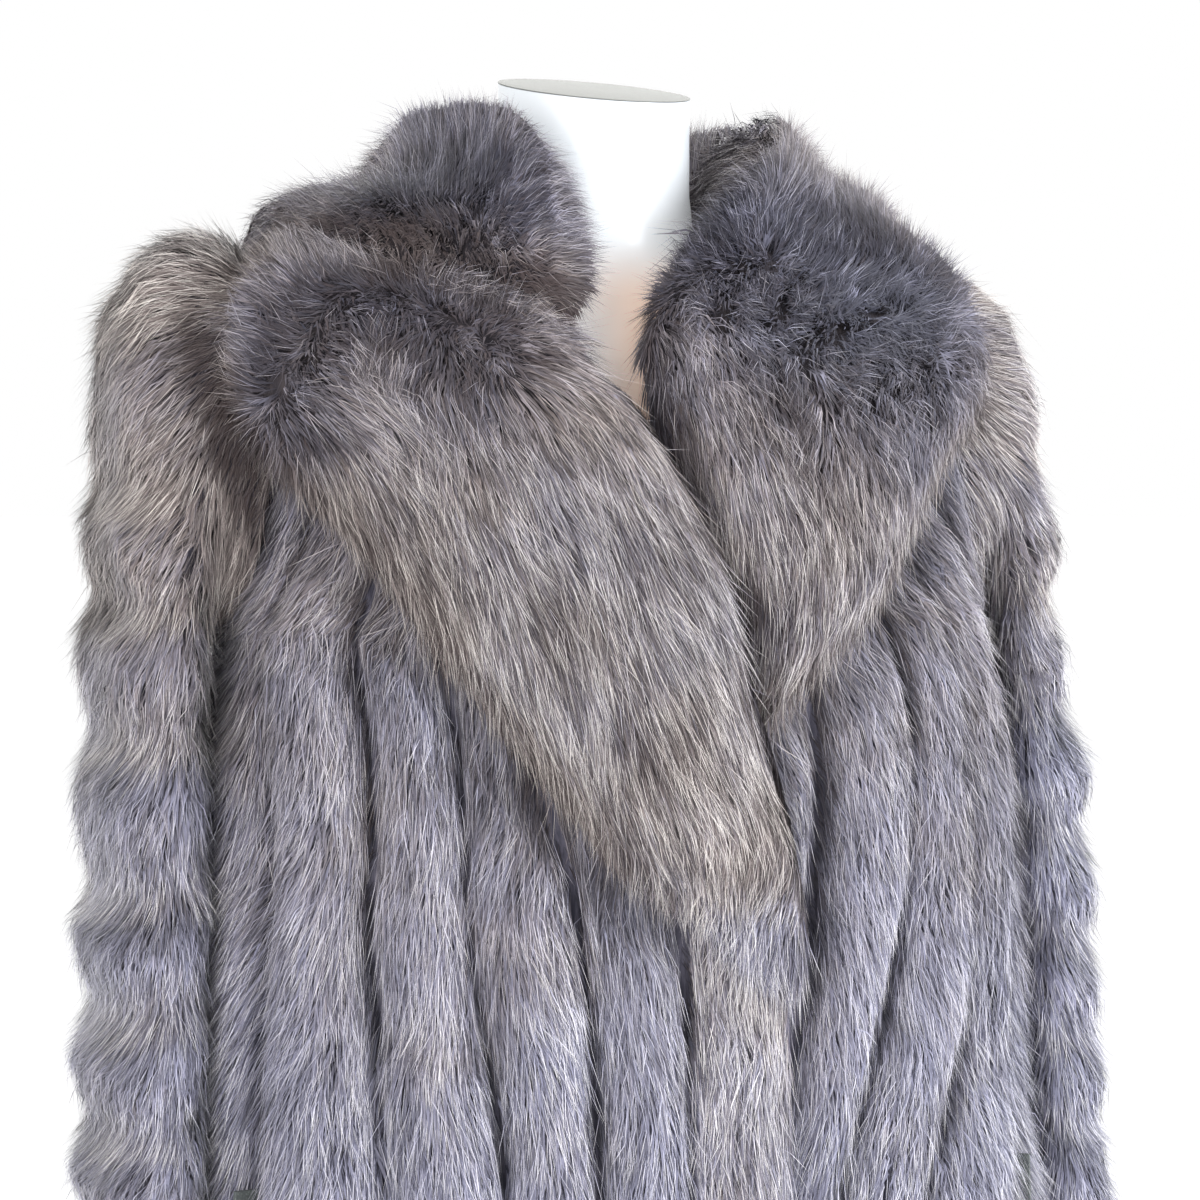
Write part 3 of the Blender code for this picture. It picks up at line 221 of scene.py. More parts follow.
coat = {
    "hem": 0.54,
    "closing": 1.0,  # where the fronts part into the lapels
    "lapelCrossing": 1.30,  # above it the lapels part round the neck
    "underarm": 1.165,
    "shoulderTip": 1.351,
    "neckline": 1.388,
    "overlap": 0.062,  # how far the right front runs past the middle
    "underlap": 0.050,  # how far the left front runs under it
    "lapelUnderlap": 0.016,  # how far the left lapel does
    "frontsPart": (1.015, 1.075),  # the levels where their edges swing to the lapels' rolls
    "armholeDepth": 0.056,  # half of the armhole from front to back
    "lapelInset": 0.012,  # from the roll of a lapel back to the cut edge of its front
    "crest": 0.027,  # on the crest of a strip
    "groove": 0.012,  # in the seam between two strips
    "seam": 0.007,  # at an edge that is sewn on
    "pressed": 0.010,  # under the collar
    "edge": 0.009,  # at a free edge
    "liftFoot": 0.066,  # the right front begins to rise this far from the left one's edge
    "liftLength": 0.055,  # and is up after this much
    "liftHeight": 0.030,  # at the lapels' crossing it comes down over this height
    "lapReach": 0.022,  # how far past the right front's edge the left one is pressed
    "pressReach": 0.036,  # how far below the collar's edge it begins to press
    "lapelPressReach": 0.052,  # and below a lapel's edge, which slants
    "seamSlope": 0.3,  # how fast the fur rises from the armhole and the side seam
    "gap": 0.0024,  # between two layers
    "seamGap": 0.0004,  # between two pieces sewn edge to edge
    "lapGap": 0.0036,  # between the fronts, whose cuts don't line up
    "collarGap": 0.0046,  # under the collar, likewise
    "armholeGap": 0.0010,  # between a sleeve and the armhole, both bent
    "lapped": 0.006,  # the left front where the right one lies over it
    "tucked": 0.009,  # the left lapel where the right one lies over it
    "underarmFur": 0.0085,  # between an arm and the body
    "ridgePower": 0.7,  # below 1 the crest of a strip is broad and its seam narrow
    "uneven": 0.11,  # share by which the fur of a strip swells and sinks along it
    "unevenLength": 0.23,  # from one swelling to the next
    "frontWander": 0.008,  # sideways wander of the seams, as a share of the panel's width
    "backWander": 0.007,
    "wanderLength": 0.31,
    "stripPhase": 2.3,  # how far one strip's swelling is ahead of the next one's, as an angle
    "seamPhase": 1.9,  # the same for the wander of a seam
    "edgeFade": 0.018,  # over how much height or width the fur changes at a lap or the collar
    "hemRound": 0.050,  # height over which the fur shortens to the hem
    "neckShare": 0.38,  # share of a front's top edge that goes round the neck
    "neckDip": 0.006,  # how much lower the neckline lies in front
    "shoulderShare": 0.30,  # share of the back's top edge that is one shoulder
    "armholeFade": 0.45,  # share of the back's width over which its strips bend to the armhole
    "closingRow": 0.99,  # the row of points at the foot of the lapels
    "armholeRows": 30,
    "chestRows": 21,  # from the underarm to the closing
    "skirtRows": 40,
    "stripCuts": 12,  # divisions across one strip
    "collarStations": (36, 40, 100),  # up to the fold, across it and beyond it
    "overCuts": 40,  # divisions across the collar's upper side
    "underCuts": 8,  # and across its underside
    "tierCuts": 12,  # divisions along one tier of a sleeve
    # The coat hangs a little to the wearer's left below the chest: that is the aside column.
    # Columns: height, half width, front, back, squareness, aside.
    "liningSections": (
        (0.540, 0.232, 0.170, 0.158, 2.6, 0.007),
        (0.720, 0.224, 0.160, 0.146, 2.6, 0.007),
        (0.900, 0.216, 0.150, 0.131, 2.7, 0.007),
        (1.020, 0.212, 0.146, 0.119, 2.7, 0.006),
        (1.120, 0.207, 0.147, 0.120, 2.6, 0.002),
        (1.165, 0.204, 0.145, 0.121, 2.5, 0.000),
        (1.250, 0.203, 0.131, 0.117, 2.4, 0.000),
        (1.318, 0.200, 0.113, 0.105, 2.4, 0.000),
        (1.351, 0.185, 0.101, 0.094, 2.3, 0.000),
        (1.368, 0.142, 0.090, 0.083, 2.15, 0.000),
        (1.380, 0.100, 0.078, 0.072, 2.05, 0.000),
        (1.390, 0.074, 0.066, 0.062, 2.0, 0.000),
    ),
    "girthSection": 5,  # the row whose girth spaces the turns
    # Seams between the strips of each front, as turns, from the one nearest the front edge to the
    # one nearest the side seam.
    # Columns: height, then the five seams.
    "rightStrips": (
        (0.540, -0.010, -0.160, -0.325, -0.512, -0.765),
        (0.900, -0.010, -0.162, -0.327, -0.515, -0.772),
        (0.956, -0.010, -0.178, -0.347, -0.522, -0.773),
        (1.007, -0.020, -0.194, -0.360, -0.545, -0.762),
        (1.060, -0.050, -0.212, -0.371, -0.553, -0.741),
        (1.095, -0.110, -0.240, -0.385, -0.556, -0.755),
        (1.132, -0.165, -0.290, -0.412, -0.569, -0.777),
        (1.165, -0.240, -0.350, -0.440, -0.592, -0.790),
    ),
    "leftStrips": (
        (0.540, 0.000, 0.120, 0.250, 0.440, 0.700),
        (0.866, 0.000, 0.150, 0.260, 0.435, 0.680),
        (0.922, 0.010, 0.170, 0.314, 0.490, 0.690),
        (0.968, 0.010, 0.200, 0.350, 0.540, 0.730),
        (1.015, 0.010, 0.215, 0.388, 0.568, 0.785),
        (1.057, 0.010, 0.227, 0.415, 0.590, 0.800),
        (1.098, 0.020, 0.236, 0.438, 0.608, 0.790),
        (1.140, 0.035, 0.245, 0.456, 0.585, 0.760),
        (1.165, 0.045, 0.250, 0.455, 0.570, 0.740),
    ),
    "frontStrips": 6,
    "backStrips": 10,
    # The roll of each lapel, from the top button place up to the neck, as metres from the middle.
    # Columns: height, right, left.
    "rollLine": (
        (1.000, 0.058, -0.006),
        (1.060, 0.049, -0.008),
        (1.126, 0.037, -0.012),
        (1.170, 0.024, -0.014),
        (1.221, 0.007, -0.014),
        (1.260, -0.007, -0.010),
        (1.286, -0.022, -0.009),
        (1.308, -0.044, -0.010),
        (1.326, -0.045, -0.009),
        (1.352, -0.041, -0.003),
        (1.372, -0.038, 0.012),
        (1.388, -0.040, 0.024),
    ),
    # The collar, station by station from the tip of the right lapel round the neck to the left one.
    # A station is a cut across the collar, from its inner edge to its outer edge.
    # Columns: along, inner turn, inner height, outer turn, outer height, plump, stand, lean.
    "collarTable": (
        (0.00, 0.170, 0.998, 0.070, 0.998, 0.008, 0.0, 0.0),
        (0.05, 0.172, 1.022, 0.000, 1.024, 0.020, 0.0, 0.0),
        (0.10, 0.162, 1.056, -0.130, 1.060, 0.031, 0.0, 0.0),
        (0.17, 0.132, 1.118, -0.290, 1.118, 0.034, 0.0, 0.0),
        (0.24, 0.078, 1.172, -0.440, 1.174, 0.035, 0.0, 0.0),
        (0.31, 0.012, 1.230, -0.590, 1.228, 0.036, 0.0, 0.0),
        (0.37, -0.075, 1.286, -0.730, 1.272, 0.038, 0.1, 0.0),
        (0.42, -0.158, 1.322, -0.770, 1.312, 0.038, 0.4, 0.1),
        (0.47, -0.200, 1.352, -0.835, 1.340, 0.039, 0.8, 0.4),
        (0.52, -0.340, 1.376, -0.930, 1.356, 0.037, 1.1, 0.8),
        (0.58, -0.620, 1.386, -1.120, 1.350, 0.034, 1.2, 1.2),
        (0.66, -1.050, 1.388, -1.330, 1.334, 0.033, 1.1, 1.4),
        (0.77, -1.500, 1.388, -1.620, 1.304, 0.032, 1.2, 1.4),
        (1.00, -2.000, 1.388, -2.000, 1.286, 0.032, 1.4, 1.4),
        (1.23, -2.500, 1.388, -2.380, 1.304, 0.032, 1.4, 1.4),
        (1.34, -2.950, 1.388, -2.670, 1.334, 0.033, 1.2, 1.4),
        (1.42, -3.300, 1.386, -2.870, 1.350, 0.034, 0.9, 1.2),
        (1.48, -3.600, 1.377, -3.080, 1.356, 0.035, 0.5, 0.8),
        (1.53, -3.860, 1.356, -3.185, 1.341, 0.036, 0.2, 0.4),
        (1.58, -4.025, 1.326, -3.235, 1.314, 0.038, 0.1, 0.1),
        (1.63, -4.034, 1.290, -3.370, 1.278, 0.040, 0.1, 0.0),
        (1.69, -4.046, 1.240, -3.500, 1.234, 0.038, 0.0, 0.0),
        (1.75, -4.050, 1.190, -3.620, 1.186, 0.036, 0.0, 0.0),
        (1.81, -4.046, 1.146, -3.780, 1.150, 0.034, 0.0, 0.0),
        (1.86, -4.030, 1.112, -3.890, 1.120, 0.026, 0.0, 0.0),
        (1.90, -4.000, 1.092, -3.950, 1.098, 0.010, 0.0, 0.0),
    ),
    "collarStand": 0.036,  # how much higher the collar is beside the neck than its plumpness
    "foldPlace": 0.430,  # the fold across the right side, between collar and lapel
    "foldSlant": 0.075,  # how much further along it lies at the outer edge
    "foldWidth": 0.021,
    "foldDepth": 0.75,  # share of the collar's height
    "foldSpan": (-0.055, 0.115),  # where stations stand closer, from the fold's place
    "shoulderLift": 0.006,  # where the collar's edge lies beside a sleeve's head
    "sleeveSide": 0.193,  # how far out the collar may reach there
    "sleeveFront": 0.078,  # how far forward the sleeve's head stands
    "collarRoundness": 0.62,  # below 1 the collar's section is full at its edges
    "neckSpan": 0.37,  # share of the collar's width that stands up beside the neck
    "collarLean": 1.2,  # how much the lean column tips the collar upwards
    # A sleeve's lining, ring by ring: the outer point and the point next to the body of each ring.
    # The left sleeve's outer side lies nearer the body by the last column.
    # Columns: along, outer x, outer z, inner x, inner z, middle y, half depth, left in.
    "sleeveRings": (
        (0.000, 0.185, 1.351, 0.204, 1.165, 0.000, 0.056, 0.000),
        (0.014, 0.208, 1.359, 0.220, 1.172, 0.001, 0.057, 0.005),
        (0.035, 0.230, 1.362, 0.227, 1.175, 0.002, 0.058, 0.013),
        (0.065, 0.247, 1.347, 0.232, 1.169, 0.005, 0.060, 0.018),
        (0.100, 0.255, 1.312, 0.236, 1.157, 0.009, 0.061, 0.017),
        (0.150, 0.260, 1.260, 0.239, 1.140, 0.013, 0.062, 0.014),
        (0.220, 0.264, 1.189, 0.241, 1.108, 0.016, 0.062, 0.010),
        (0.320, 0.271, 1.087, 0.243, 1.046, 0.014, 0.060, 0.007),
        (0.450, 0.277, 0.955, 0.2465, 0.940, 0.008, 0.057, 0.005),
        (0.560, 0.280, 0.845, 0.250, 0.842, 0.000, 0.054, 0.003),
        (0.648, 0.283, 0.756, 0.255, 0.756, -0.006, 0.052, 0.000),
    ),
    "leftSleeveDrop": 0.6,  # how far its head drops for each metre that it lies further in
    "sleeveTiers": (0.0, 0.065, 0.165, 0.235, 0.320, 0.405, 0.475, 0.540, 0.596, 0.648),
    "tierCrest": 0.025,  # on the outside of the arm
    "tierGroove": 0.017,
    "sleevePressed": 0.0065,  # against the body
    "tierOverhang": 1.25,  # above 1 a tier is fullest below its middle
    "tierUneven": 0.10,  # share by which a tier is fuller on some sides
    "cuffRound": 0.030,  # length over which the fur shortens to the cuff
}


# curves and sections

def ease(value):
    # 0 below 0, 1 above 1, and a smooth step between.
    value = np.clip(value, 0.0, 1.0)
    return value * value * (3.0 - 2.0 * value)


def through(rows, at):
    # A smooth curve through each column of rows, read at values of the first column.
    table = np.asarray(rows, float)
    keys = table[:, 0]
    at = np.asarray(at, float)
    index = np.clip(np.searchsorted(keys, at) - 1, 0, len(keys) - 2)
    step = keys[index + 1] - keys[index]
    share = np.clip((at - keys[index]) / step, 0.0, 1.0)
    found = []
    for column in table[:, 1:].T:
        slope = np.gradient(column, keys)
        start, end = column[index], column[index + 1]
        run = share * share * (3.0 - 2.0 * share)
        rise = share * (1.0 - share) ** 2 * step * slope[index]
        fall = share * share * (share - 1.0) * step * slope[index + 1]
        found.append(start + (end - start) * run + rise + fall)
    return found


def quarterGirth():
    # The shares of a quarter section's length and the angle at each, on the chest section.
    _, halfWidth, front, _, squareness, _ = coat["liningSections"][coat["girthSection"]]
    steps = 400
    angle = np.linspace(0.0, math.pi / 2, steps)
    across = halfWidth * np.sin(angle) ** (2 / squareness)
    deep = front * np.cos(angle) ** (2 / squareness)
    length = np.concatenate([[0.0], np.cumsum(np.hypot(np.diff(across), np.diff(deep)))])
    return length / length[-1], angle


coat["girthShare"], coat["girthAngle"] = quarterGirth()


def lining(turn, height):
    # The point of the lining at a turn round the body and a height.
    halfWidth, front, back, squareness, aside = through(coat["liningSections"], height)
    turn = np.mod(np.asarray(turn, float) + 2.0, 4.0) - 2.0
    ahead = np.abs(turn) <= 1.0
    quarter = np.where(ahead, np.abs(turn), 2.0 - np.abs(turn))
    angle = np.interp(quarter, coat["girthShare"], coat["girthAngle"])
    x = aside + halfWidth * np.sin(angle) ** (2 / squareness) * np.sign(turn)
    y = np.where(ahead, -front, back) * np.cos(angle) ** (2 / squareness)
    return np.stack(np.broadcast_arrays(x, y, np.asarray(height, float)), axis=-1)


def normal(turn, height):
    # The outward direction of the lining there.
    turnStep, heightStep = 0.02, 0.004
    top = np.minimum(np.asarray(height, float) + heightStep, coat["liningSections"][-1][0])
    around = lining(turn + turnStep, height) - lining(turn - turnStep, height)
    up = lining(turn, top) - lining(turn, height - heightStep)
    return unit(np.cross(around, up))


def standing(turn, height, out):
    # The point that stands off the lining by a height of fur.
    return lining(turn, height) + normal(turn, height) * np.asarray(out)[..., None]


def turnAt(x, height):
    # The turn of a point of the front that is x from the middle.
    halfWidth, _, _, squareness, aside = through(coat["liningSections"], height)
    share = np.clip(np.abs(x - aside) / halfWidth, 0.0, 1.0)
    angle = np.arcsin(share ** (squareness / 2))
    return np.sign(x - aside) * np.interp(angle, coat["girthAngle"], coat["girthShare"])


def armholeSpan():
    # The middle of the armhole's height, and half of that height.
    tip, foot = coat["shoulderTip"], coat["underarm"]
    return (tip + foot) / 2, (tip - foot) / 2


def armholeTurn(height, ahead, inset=0.0):
    # How far the armhole's edge lies from the side seam, as a turn. Inset makes it smaller.
    _, front, back, squareness, _ = through(coat["liningSections"], height)
    middle, reach = armholeSpan()
    roundShare = np.sqrt(np.clip(1.0 - ((height - middle) / (reach - inset)) ** 2, 0.0, 1.0))
    deep = (coat["armholeDepth"] - inset) * roundShare
    ratio = deep / np.where(ahead, front, back)
    angle = np.arccos(np.clip(ratio, 0.0, 1.0) ** (squareness / 2))
    return 1.0 - np.interp(angle, coat["girthAngle"], coat["girthShare"])


def fromSideSeam(turn):
    # How far round a place is from the nearer side seam.
    return np.abs(np.abs(np.mod(turn + 2.0, 4.0) - 2.0) - 1.0)


def covered(turn, height, rightFront):
    # 1 where the collar lies over the fur, 0 away from it. The collar's own turns run down from
    # the right lapel to -4 at the left one.
    rows = np.asarray(coat["collarTable"])
    collarTurn = turn if rightFront else turn - 4.0
    edge = np.interp(-collarTurn, -rows[:, 3], rows[:, 4])
    ahead = np.abs(np.mod(turn + 2.0, 4.0) - 2.0) < 1.0
    reach = np.where(ahead, coat["lapelPressReach"], coat["pressReach"])
    return ease((height - edge + reach) / coat["edgeFade"])


def besideLine(points, line, reach):
    # exp(-(d / reach)^2), where d is how far each point is from the nearest one of a line.
    apart = np.linalg.norm(points[..., None, :] - line, axis=-1).min(axis=-1)
    return np.exp(-(apart / reach) ** 2)


def lappedOver(turn, height):
    # 1 where the right front or lapel lies over the left one, 0 away from them.
    x = lining(turn, height)[..., 0]
    roll = through(coat["rollLine"], height)[0]
    limit = np.where(height < coat["closing"], coat["overlap"], roll)
    limit = np.where(height > coat["lapelCrossing"], -1.0, limit)
    return ease((limit + coat["lapReach"] - x) / coat["edgeFade"])


def lapLift(turn, height):
    # How far the right front and lapel are lifted by the left ones under them.
    x = lining(turn, height)[..., 0]
    partLow, partHigh = coat["frontsPart"]
    lapels = ease((height - partLow) / (partHigh - partLow))
    under = coat["lapped"] + coat["lapGap"] + (coat["tucked"] + coat["gap"]) * lapels
    reach = coat["underlap"] + (coat["lapelUnderlap"] - coat["underlap"]) * lapels
    near = ease((x + reach + coat["liftFoot"]) / coat["liftLength"]) * (np.abs(turn) < 0.9)
    top = coat["lapelCrossing"] + 0.4 * coat["liftHeight"]
    return under * near * ease((top - height) / coat["liftHeight"])


def gridFaces(ids, wrap=False):
    # Quads between the neighbouring points of a grid of indices.
    if wrap:
        ids = np.concatenate([ids, ids[:, :1]], axis=1)
    quads = np.stack([ids[:-1, :-1], ids[:-1, 1:], ids[1:, 1:], ids[1:, :-1]], axis=-1)
    return quads.reshape(-1, 4).tolist()


def joinEdges(outer, inner):
    # Triangles between two edges that may have unlike numbers of points.
    faces = []
    i = j = 0
    while i < len(outer) - 1 or j < len(inner) - 1:
        outerNext = (i + 1) / (len(outer) - 1)
        innerNext = (j + 1) / (len(inner) - 1)
        if j == len(inner) - 1 or (i < len(outer) - 1 and outerNext <= innerNext + 1e-9):
            faces.append([int(outer[i]), int(inner[j]), int(outer[i + 1])])
            i += 1
        else:
            faces.append([int(outer[i]), int(inner[j]), int(inner[j + 1])])
            j += 1
    return faces


def flipped(faces):
    # The same faces seen from their other side.
    return [face[::-1] for face in faces]


def rowHeights():
    # Levels of a panel's rows at its side: round the armhole, then down to the hem.
    middle, reach = armholeSpan()
    angle = np.linspace(0.0, math.pi, coat["armholeRows"] + 1)
    chest = np.linspace(coat["underarm"], coat["closingRow"], coat["chestRows"] + 1)
    skirt = np.linspace(coat["closingRow"], coat["hem"], coat["skirtRows"] + 1)
    return np.concatenate([middle + reach * np.cos(angle), chest[1:], skirt[1:]])


def stripShares(seams):
    # Shares across a panel with the same divisions in every strip, row by row.
    cuts = np.arange(coat["stripCuts"]) / coat["stripCuts"]
    starts = seams[:, :-1, None] + (seams[:, 1:] - seams[:, :-1])[:, :, None] * cuts
    return np.concatenate([starts.reshape(len(seams), -1), seams[:, -1:]], axis=1)


def stripFur(rows, strips, height):
    # Fur height of a ribbed panel before anything presses it: seams, crests and uneven growth.
    place = np.arange(strips * coat["stripCuts"] + 1) / coat["stripCuts"]
    ridge = np.abs(np.sin(math.pi * place)) ** coat["ridgePower"]
    strip = np.minimum(np.floor(place), strips - 1)
    phase = 2 * math.pi * height / coat["unevenLength"] + coat["stripPhase"] * strip
    rise = (coat["crest"] - coat["groove"]) * ridge * (1.0 + coat["uneven"] * np.sin(phase))
    return coat["groove"] + rise * np.ones((rows, 1))


def wander(height, count, size):
    # Small sideways wander of the seams, none at a panel's own edges.
    number = np.arange(count)
    shift = size * np.sin(2 * math.pi * height / coat["wanderLength"] + coat["seamPhase"] * number)
    shift[:, 0] = 0.0
    shift[:, -1] = 0.0
    return shift


def frontEdge(side):
    # The front's inner boundary for each row, as turn and height: neckline, roll, front edge.
    below = rowHeights()[coat["armholeRows"]:]
    inset, column = (-coat["lapelInset"], 0) if side < 0 else (coat["lapelInset"], 1)
    partLow, partHigh = coat["frontsPart"]
    closed = ease((partHigh - below) / (partHigh - partLow))
    x = through(coat["rollLine"], below)[column] + inset
    edge = coat["overlap"] if side < 0 else -coat["underlap"]
    skirtTurn = turnAt(x + (edge - x) * closed, below)
    # Above the underarm the boundary climbs the roll line and then rounds the neck.
    share, neckShare = np.linspace(0.0, 1.0, coat["armholeRows"] + 1), coat["neckShare"]
    atNeck = share < neckShare
    neckFront = coat["neckline"] - coat["neckDip"]
    down = (share - neckShare) / (1 - neckShare)
    climb = neckFront - (neckFront - coat["underarm"]) * down
    around = share / neckShare
    height = np.where(atNeck, coat["neckline"] - coat["neckDip"] * around, climb)
    roll = turnAt(through(coat["rollLine"], height)[column] + inset, height)
    start = roll[np.searchsorted(share, neckShare)]
    turn = np.where(atNeck, side + (start - side) * around, roll)
    return np.append(turn[:-1], skirtTurn), np.append(height[:-1], below)


def frontPanel(side):
    # Turns, heights and fur of one front, from its front edge to its side seam.
    levels = rowHeights()
    edgeTurn, edgeHeight = frontEdge(side)
    arm = np.where(levels > coat["underarm"], armholeTurn(levels, True), 0.0)
    sideTurn = side * (1.0 - arm) - side * coat["seamGap"]
    # Above the underarm the strips keep their shares of the width, so they narrow to the shoulder.
    strips = coat["rightStrips"] if side < 0 else coat["leftStrips"]
    row = np.maximum(np.arange(len(levels)), coat["armholeRows"])
    seams = np.stack(through(strips, levels[row]), axis=1)
    seams = np.column_stack([edgeTurn[row], seams, sideTurn[row]])
    seams = (seams - edgeTurn[row][:, None]) / (sideTurn - edgeTurn)[row][:, None]
    share = stripShares(seams + wander(levels[:, None], seams.shape[1], coat["frontWander"]))
    turn = edgeTurn[:, None] + (sideTurn - edgeTurn)[:, None] * share
    height = edgeHeight[:, None] + (levels - edgeHeight)[:, None] * share
    fur = stripFur(len(levels), coat["frontStrips"], levels[:, None])
    return turn, height, fur


def backPanel():
    # Turns, heights and fur of the back, from the left side seam round to the right one.
    levels, strips, fade = rowHeights(), coat["backStrips"], coat["armholeFade"]
    tip, foot, shoulder = coat["shoulderTip"], coat["underarm"], coat["shoulderShare"]
    seams = np.tile(np.linspace(0.0, 1.0, strips + 1), (len(levels), 1))
    share = stripShares(seams + wander(levels[:, None], strips + 1, coat["backWander"]))
    down = np.clip((tip - levels) / (tip - foot), 0.0, 1.0)[:, None]
    slope = np.clip(np.minimum(share, 1.0 - share) / shoulder, 0.0, 1.0)
    topHeight = tip + (coat["neckline"] - tip) * slope
    roundNeck = np.clip((share - shoulder) / (1 - 2 * shoulder), 0.0, 1.0)
    # The top row keeps to the shoulders and the neck, and the lower ones spread out evenly.
    settle = np.minimum(down * 1.5, 1.0)
    turn = 1.0 + 2.0 * (roundNeck + (share - roundNeck) * settle)
    sloping = topHeight * (1 - down) + foot * down
    height = np.where(levels[:, None] > foot, sloping, levels[:, None])
    arm = np.where(levels > foot, armholeTurn(levels, False), 0.0)[:, None] + coat["seamGap"]
    leftFade = np.clip(1.0 - share / fade, 0.0, 1.0)
    rightFade = np.clip(1.0 - (1.0 - share) / fade, 0.0, 1.0)
    turn = turn + arm * leftFade - arm * rightFade
    return turn, height, stripFur(len(levels), strips, levels[:, None])


def pressedFur(turn, height, fur, rightFront=False):
    # The collar, the sleeves and the hem press or round off the fur.
    fur = fur + (coat["pressed"] - fur) * covered(turn, height, rightFront)
    underArm = ease((0.30 - fromSideSeam(turn)) / 0.20)
    underArm = underArm * ease((height - coat["underarm"] + 0.08) / 0.04)
    fur = fur + (np.minimum(fur, coat["underarmFur"]) - fur) * underArm
    hem = ease((coat["hem"] + coat["hemRound"] - height) / coat["hemRound"])
    return fur + (coat["edge"] - fur) * hem


def seamLimit(points, edge):
    # The most fur a sewn edge allows: it rises slowly with the distance from that edge.
    away = np.linalg.norm(points - points[:, edge:edge + 1 or None], axis=-1)
    return coat["seam"] + coat["seamSlope"] * away


def collarSection(count):
    # Places across the collar and shares of its height: the upper side, then the underside.
    angle = np.linspace(0.0, math.pi, count)
    across = 0.5 - 0.5 * np.cos(angle)
    rise = np.sin(angle) ** coat["collarRoundness"]
    return across, rise


def besideSleeves(points, foot):
    # Presses the collar's sides in where the head of a sleeve stands beside them.
    side = np.sign(foot[..., 0])
    start = np.abs(foot[..., 0])
    bulge = np.maximum(points[..., 0] * side - start, 0.0)
    room = np.maximum(coat["sleeveSide"] - start, 0.001)
    held = start + room * np.tanh(bulge / room)
    near = ease((points[..., 1] + coat["sleeveFront"]) / coat["edgeFade"]) * (bulge > 0)
    moved = points.copy()
    moved[..., 0] += (held * side - points[..., 0]) * near
    return moved


def sleeveLining(along, around, side):
    # A ring is an oval from its outer point to the point next to the body. Around is 0 outside,
    # then runs over the front, the body's side and the back.
    found = through(coat["sleeveRings"], along)
    outerX, outerZ, innerX, innerZ, middleY, halfDepth, leftIn = found
    if side > 0:
        outerX = outerX - leftIn
        outerZ = outerZ - leftIn * coat["leftSleeveDrop"]
    x = (outerX + innerX) / 2 + (outerX - innerX) / 2 * np.cos(around)
    z = (outerZ + innerZ) / 2 + (outerZ - innerZ) / 2 * np.cos(around)
    y = middleY - halfDepth * np.sin(around)
    aside = through(coat["liningSections"], (outerZ + innerZ) / 2)[-1]
    return np.stack(np.broadcast_arrays(side * x + aside, y, z), axis=-1)


def armholeRing(around, side, out):
    # The first ring, just inside the armhole's edge and standing off the lining as it does.
    middle, reach = armholeSpan()
    height = middle + (reach - coat["armholeGap"]) * np.cos(around)
    ahead = np.sin(around) >= 0
    turn = 1.0 + np.where(ahead, -1.0, 1.0) * armholeTurn(height, ahead, coat["armholeGap"])
    return standing(side * turn, height, out)


def ridgeAt(within):
    # A tier's swell at a share of its height: |sin(pi * share ^ overhang)| ^ power.
    return np.abs(np.sin(math.pi * within ** coat["tierOverhang"])) ** coat["ridgePower"]


def sleeveFur(along, around):
    # Tiers of fur: full above each seam and low in it, full outside and pressed by the body.
    tiers = np.asarray(coat["sleeveTiers"])
    place = np.interp(along, tiers, np.arange(len(tiers)))
    ridge = ridgeAt(place - np.floor(place))
    uneven = 1.0 + coat["tierUneven"] * np.sin(2.1 * np.floor(place) + 1.3 * np.cos(around))
    full = coat["tierGroove"] + (coat["tierCrest"] - coat["tierGroove"]) * ridge * uneven
    byBody = ease((-np.cos(around) - 0.05) / 0.8)
    fur = full + (coat["sleevePressed"] - full) * byBody
    # Beside the armhole it grows slowly, most of all in front where the collar lies over it.
    ahead = np.clip(np.sin(around), 0.0, 1.0)
    onTop = np.clip(np.cos(around), 0.0, 1.0) ** 2 * (1.0 - ahead) ** 2
    underCollar = ease((np.sin(around + 0.45) - 0.35) / 0.5)
    slope = 0.3 + 0.7 * onTop - 0.2 * underCollar
    late = 0.020 + 0.032 * underCollar
    fur = np.minimum(fur, coat["seam"] + slope * along + np.clip(along - late, 0.0, 1.0))
    cuff = ease((along - coat["sleeveTiers"][-1] + coat["cuffRound"]) / coat["cuffRound"])
    return fur + (np.minimum(fur, coat["edge"]) - fur) * cuff


def panelSurface(turn, height, base, fur):
    # Skin and top of a ribbed panel: the lining moved out by the base, and by base and fur.
    return {
        "skin": standing(turn, height, base), "top": standing(turn, height, base + fur),
        "place": np.arange(turn.shape[1]) / coat["stripCuts"],
        "height": height, "turn": turn, "wrap": False,
    }


def frontSurface(side):
    # One front. The right one rises over the left one, which is pressed under it.
    turn, height, fur = frontPanel(side)
    fur = pressedFur(turn, height, fur, rightFront=side < 0)
    fur = np.minimum(fur, seamLimit(lining(turn, height), -1))
    fur[0] = np.minimum(fur[0], coat["seam"])
    if side > 0:
        fur = fur + (coat["lapped"] - fur) * lappedOver(turn, height)
        return panelSurface(turn, height, 0.0 * fur, fur)
    place = np.arange(turn.shape[1]) / coat["stripCuts"]
    fur = fur + (coat["edge"] - fur) * ease(1.0 - 2.0 * place)
    return panelSurface(turn, height, lapLift(turn, height), fur)


def backSurface():
    # The back, whose fur keeps low along both side seams.
    turn, height, fur = backPanel()
    fur = pressedFur(turn, height, fur)
    places = lining(turn, height)
    fur = np.minimum(fur, np.minimum(seamLimit(places, 0), seamLimit(places, -1)))
    fur[0] = np.minimum(fur[0], coat["seam"])
    return panelSurface(turn, height, 0.0 * fur, fur)


